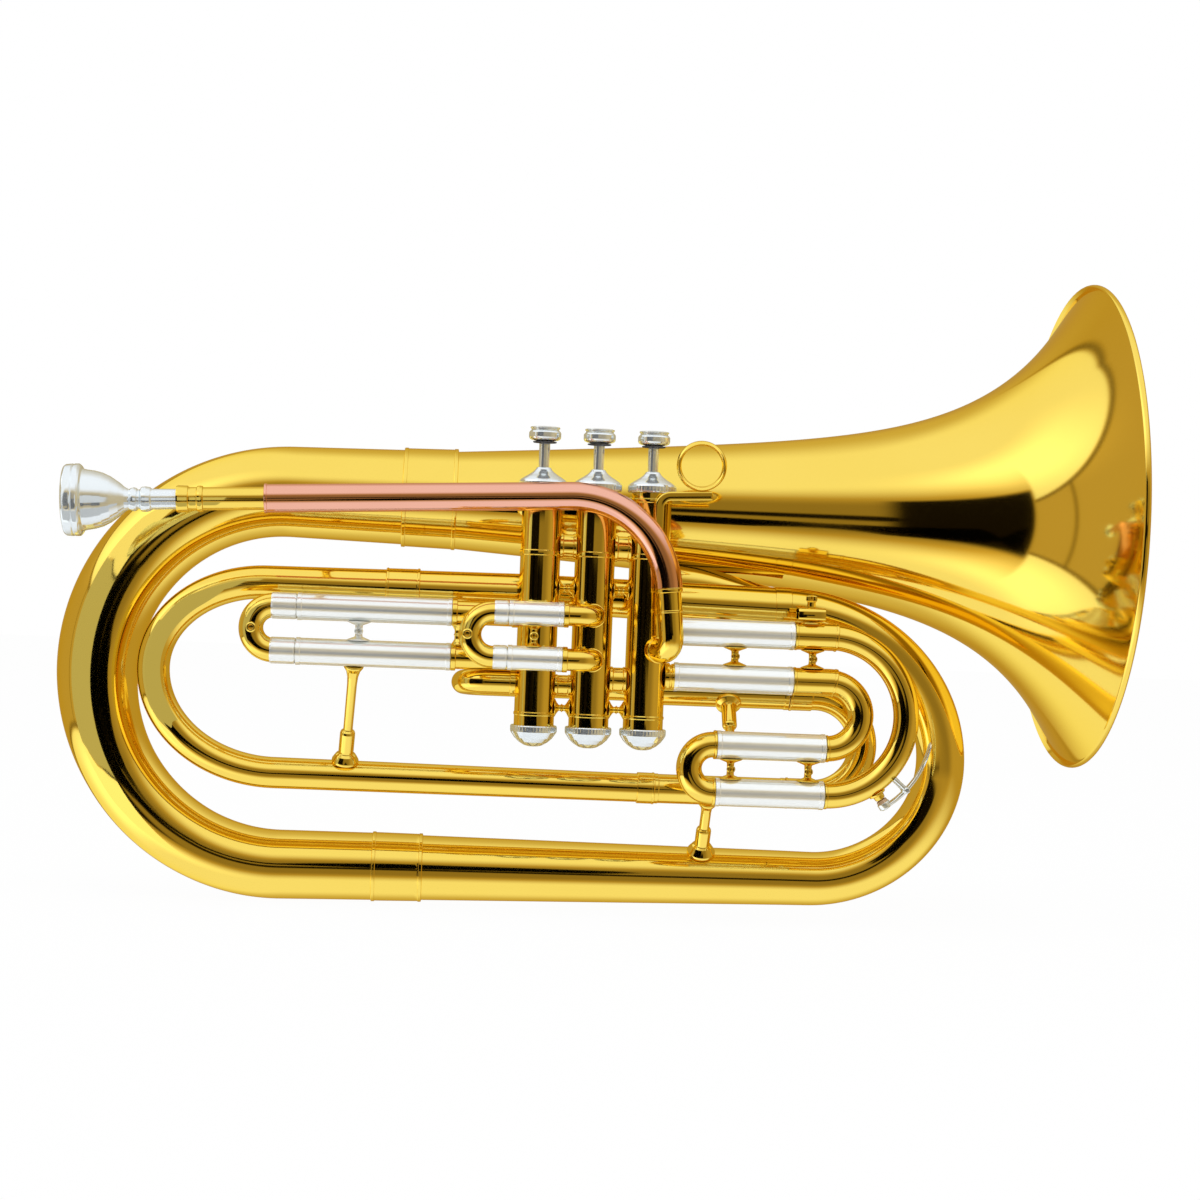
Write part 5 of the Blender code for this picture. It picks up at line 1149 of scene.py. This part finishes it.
def buildWorld():
    world = bpy.data.worlds.new("whiteStudio")
    bpy.context.scene.world = world
    world.use_nodes = True
    tree = world.node_tree
    tree.nodes.clear()
    link = tree.links.new
    s = studio
    place = addNode(tree, "ShaderNodeTexCoord")
    split = addNode(tree, "ShaderNodeSeparateXYZ")
    link(place.outputs["Generated"], split.inputs[0])
    x, y, z = split.outputs
    toCamera = formula(tree, "MULTIPLY", y, -1.0)
    elevation = formula(tree, "MULTIPLY", formula(tree, "ARCSINE", z), math.degrees(1))
    azimuth = formula(tree, "MULTIPLY", formula(tree, "ARCTAN2", x, toCamera), math.degrees(1))
    height = formula(tree, "ABSOLUTE", elevation)
    sideways = formula(tree, "ABSOLUTE", azimuth)
    # the sweep brightens with height, later below than above, and fades behind the object
    below = formula(tree, "SUBTRACT", formula(tree, "MULTIPLY", elevation, -1.0), s["lowerLag"])
    lift = softStep(tree, formula(tree, "MAXIMUM", elevation, below), s["brightFrom"], s["brightTo"])
    fade = softStep(tree, y, 0.0, 0.75, 1.0, 1.0 - s["behindLoss"])
    horizon = softStep(tree, sideways, 25.0, 60.0, s["horizonLevel"], s["sideLevel"])
    level = blendLevels(tree, formula(tree, "MULTIPLY", lift, fade), horizon, 1.0)
    # the left wall, from its slanting top edge down to its foot, with a dark line round it and a soft seam
    top = softStep(tree, azimuth, s["wallFrom"], s["wallBack"], s["wallTopFront"], s["wallTopBack"], "LINEAR")
    overTop = formula(tree, "SUBTRACT", elevation, top)
    underFoot = formula(tree, "SUBTRACT", s["wallFoot"], elevation)
    past = formula(tree, "MAXIMUM", overTop, underFoot)
    isWall = softStep(tree, past, s["wallEdge"], -s["wallEdge"])
    edge = softStep(tree, formula(tree, "ABSOLUTE", past), s["wallEdge"] * 1.4, 0.0, 0.0, 0.75)
    fromSeam = formula(tree, "ABSOLUTE", formula(tree, "SUBTRACT", azimuth, s["seamAzimuth"]))
    seam = softStep(tree, fromSeam, s["seamHalfWidth"], 0.0, 1.0, 1.0 - s["seamDepth"])
    wall = blendLevels(tree, isWall, 1.0, formula(tree, "MULTIPLY", seam, s["wallLevel"]))
    wall = formula(tree, "MULTIPLY", wall, formula(tree, "SUBTRACT", 1.0, edge))
    atLeft = formula(tree, "MULTIPLY", softStep(tree, azimuth, s["wallFrom"] + 1.0, s["wallFrom"] - 1.0),
                     softStep(tree, azimuth, -178.0, -150.0))
    level = blendLevels(tree, atLeft, level, wall)
    # the dark opening, and the thin strip that goes on from it to the right
    opening = formula(tree, "MULTIPLY", softStep(tree, azimuth, s["darkLeft"] - 1.0, s["darkLeft"] + 1.0),
                      softStep(tree, azimuth, s["darkRight"] + 2.5, s["darkRight"] - 2.5))
    opening = formula(tree, "MULTIPLY", opening, softStep(tree, elevation, s["darkTop"] + 1.5, s["darkTop"] - 1.5))
    opening = formula(tree, "MULTIPLY", opening, softStep(tree, elevation, s["darkFoot"] - 2.5, s["darkFoot"] + 2.5))
    fromStrip = formula(tree, "ABSOLUTE", formula(tree, "SUBTRACT", azimuth, s["stripAzimuth"]))
    strip = formula(tree, "MULTIPLY", softStep(tree, elevation, s["stripTop"] + 1.5, s["stripTop"] - 1.5),
                    softStep(tree, elevation, s["stripFoot"] - 1.5, s["stripFoot"] + 1.5))
    strip = formula(tree, "MULTIPLY", strip, softStep(tree, fromStrip, s["stripHalfWidth"] + 4.0, s["stripHalfWidth"]))
    dark = formula(tree, "MAXIMUM", opening, strip)
    level = formula(tree, "MULTIPLY", level, formula(tree, "SUBTRACT", 1.0, dark))
    # the lamps behind the sweep make it glow at the left, above and below
    fromGlow = formula(tree, "ABSOLUTE", formula(tree, "SUBTRACT", azimuth, s["glowAzimuth"]))
    glowHeight = formula(tree, "ABSOLUTE", formula(tree, "SUBTRACT", height, s["glowHeight"]))
    glow = formula(tree, "MULTIPLY", softStep(tree, fromGlow, 60.0, 10.0), softStep(tree, glowHeight, 22.0, 4.0))
    strength = formula(tree, "MULTIPLY_ADD", glow, s["glow"], 1.0)
    rays = addNode(tree, "ShaderNodeLightPath")
    reflected = addNode(tree, "ShaderNodeBackground")
    link(reflectedTone(tree, level), reflected.inputs["Color"])
    link(strength, reflected.inputs["Strength"])
    plain = addNode(tree, "ShaderNodeBackground", Color=(1, 1, 1, 1))
    seen = formula(tree, "MAXIMUM", rays.outputs["Is Camera Ray"], s["plainLevel"])
    link(seen, plain.inputs["Strength"])
    mix = addNode(tree, "ShaderNodeMixShader")
    link(rays.outputs["Is Glossy Ray"], mix.inputs[0])
    link(plain.outputs[0], mix.inputs[1])
    link(reflected.outputs[0], mix.inputs[2])
    out = addNode(tree, "ShaderNodeOutputWorld")
    link(mix.outputs[0], out.inputs["Surface"])


def buildCard(name, corners, level, reach):
    # a flat card in front of the object, there only for what metal nearer than its reach reflects
    mesh = bpy.data.meshes.new(name)
    mesh.from_pydata(np.asarray(corners) * mm, [], [list(range(len(corners)))])
    card = bpy.data.objects.new(name, mesh)
    bpy.context.scene.collection.objects.link(card)
    for hidden in ("visible_camera", "visible_diffuse", "visible_shadow", "visible_transmission"):
        setattr(card, hidden, False)
    made = bpy.data.materials.new(name)
    made.use_nodes = True
    tree = made.node_tree
    tree.nodes.clear()
    glow = addNode(tree, "ShaderNodeEmission", Strength=1.0)
    glow.inputs["Color"].default_value = (level, level, level * (0.98 if level else 1), 1)
    rays = addNode(tree, "ShaderNodeLightPath")
    clear = addNode(tree, "ShaderNodeBsdfTransparent")
    faded = addNode(tree, "ShaderNodeMixShader")
    tree.links.new(formula(tree, "GREATER_THAN", rays.outputs["Ray Length"], reach * mm), faded.inputs[0])
    tree.links.new(glow.outputs[0], faded.inputs[1])
    tree.links.new(clear.outputs[0], faded.inputs[2])
    out = addNode(tree, "ShaderNodeOutputMaterial")
    tree.links.new(faded.outputs[0], out.inputs["Surface"])
    mesh.materials.append(made)


def buildFloor():
    # a large pale sheet: white to the camera, lit normally for the shadow it keeps, open to what metal reflects
    low = cadBox[0][2] - studio["floorDrop"] * mm
    mesh = bpy.data.meshes.new("studioFloor")
    half = studio["floorHalf"]
    mesh.from_pydata([(-half, -half, low), (half, -half, low), (half, half, low), (-half, half, low)], [], [(0, 1, 2, 3)])
    floor = bpy.data.objects.new("studioFloor", mesh)
    bpy.context.scene.collection.objects.link(floor)
    made = bpy.data.materials.new("paleFloor")
    made.use_nodes = True
    tree = made.node_tree
    tree.nodes.clear()
    link = tree.links.new
    matte = addNode(tree, "ShaderNodeBsdfDiffuse", Color=(0.82, 0.82, 0.82, 1))
    glow = addNode(tree, "ShaderNodeEmission", Strength=1.0)
    clear = addNode(tree, "ShaderNodeBsdfTransparent")
    rays = addNode(tree, "ShaderNodeLightPath")
    white = addNode(tree, "ShaderNodeMixShader")
    link(formula(tree, "MULTIPLY", rays.outputs["Is Camera Ray"], 0.97), white.inputs[0])
    link(matte.outputs[0], white.inputs[1])
    link(glow.outputs[0], white.inputs[2])
    passing = addNode(tree, "ShaderNodeMixShader")
    link(rays.outputs["Is Glossy Ray"], passing.inputs[0])
    link(white.outputs[0], passing.inputs[1])
    link(clear.outputs[0], passing.inputs[2])
    out = addNode(tree, "ShaderNodeOutputMaterial")
    link(passing.outputs[0], out.inputs["Surface"])
    mesh.materials.append(made)


def addLamp(name, place, target, size, power):
    data = bpy.data.lights.new(name, "AREA")
    data.shape = "RECTANGLE"
    data.size, data.size_y = size
    data.energy = power
    lamp = bpy.data.objects.new(name, data)
    lamp.visible_glossy = False
    bpy.context.scene.collection.objects.link(lamp)
    place, target = np.array(place, float), np.array(target, float)
    back = unit(place - target)
    side = unit(np.cross((0, 0, 1), back)) if abs(back[2]) < 0.99 else np.array([1.0, 0, 0])
    lift = np.cross(back, side)
    rows = [[side[k], lift[k], back[k], place[k]] for k in range(3)] + [[0, 0, 0, 1]]
    lamp.matrix_world = Matrix(rows)


def buildLamps():
    addLamp("overheadBox", (0.0, -0.5, 1.7), (0, 0, 0), (1.8, 0.9), 14.0)
    addLamp("rightBox", (1.7, -1.3, 0.7), (0.1, 0, 0), (0.7, 1.2), 9.0)


placeCamera()
buildWorld()
buildFloor()
for cardName, (cardY, cardLevel, cardReach, outline) in cards.items():
    buildCard(cardName, [(x, cardY, z) for x, z in outline], cardLevel, cardReach)
buildLamps()
bpy.context.scene.view_settings.view_transform = "Standard"
print("camera and studio ready")
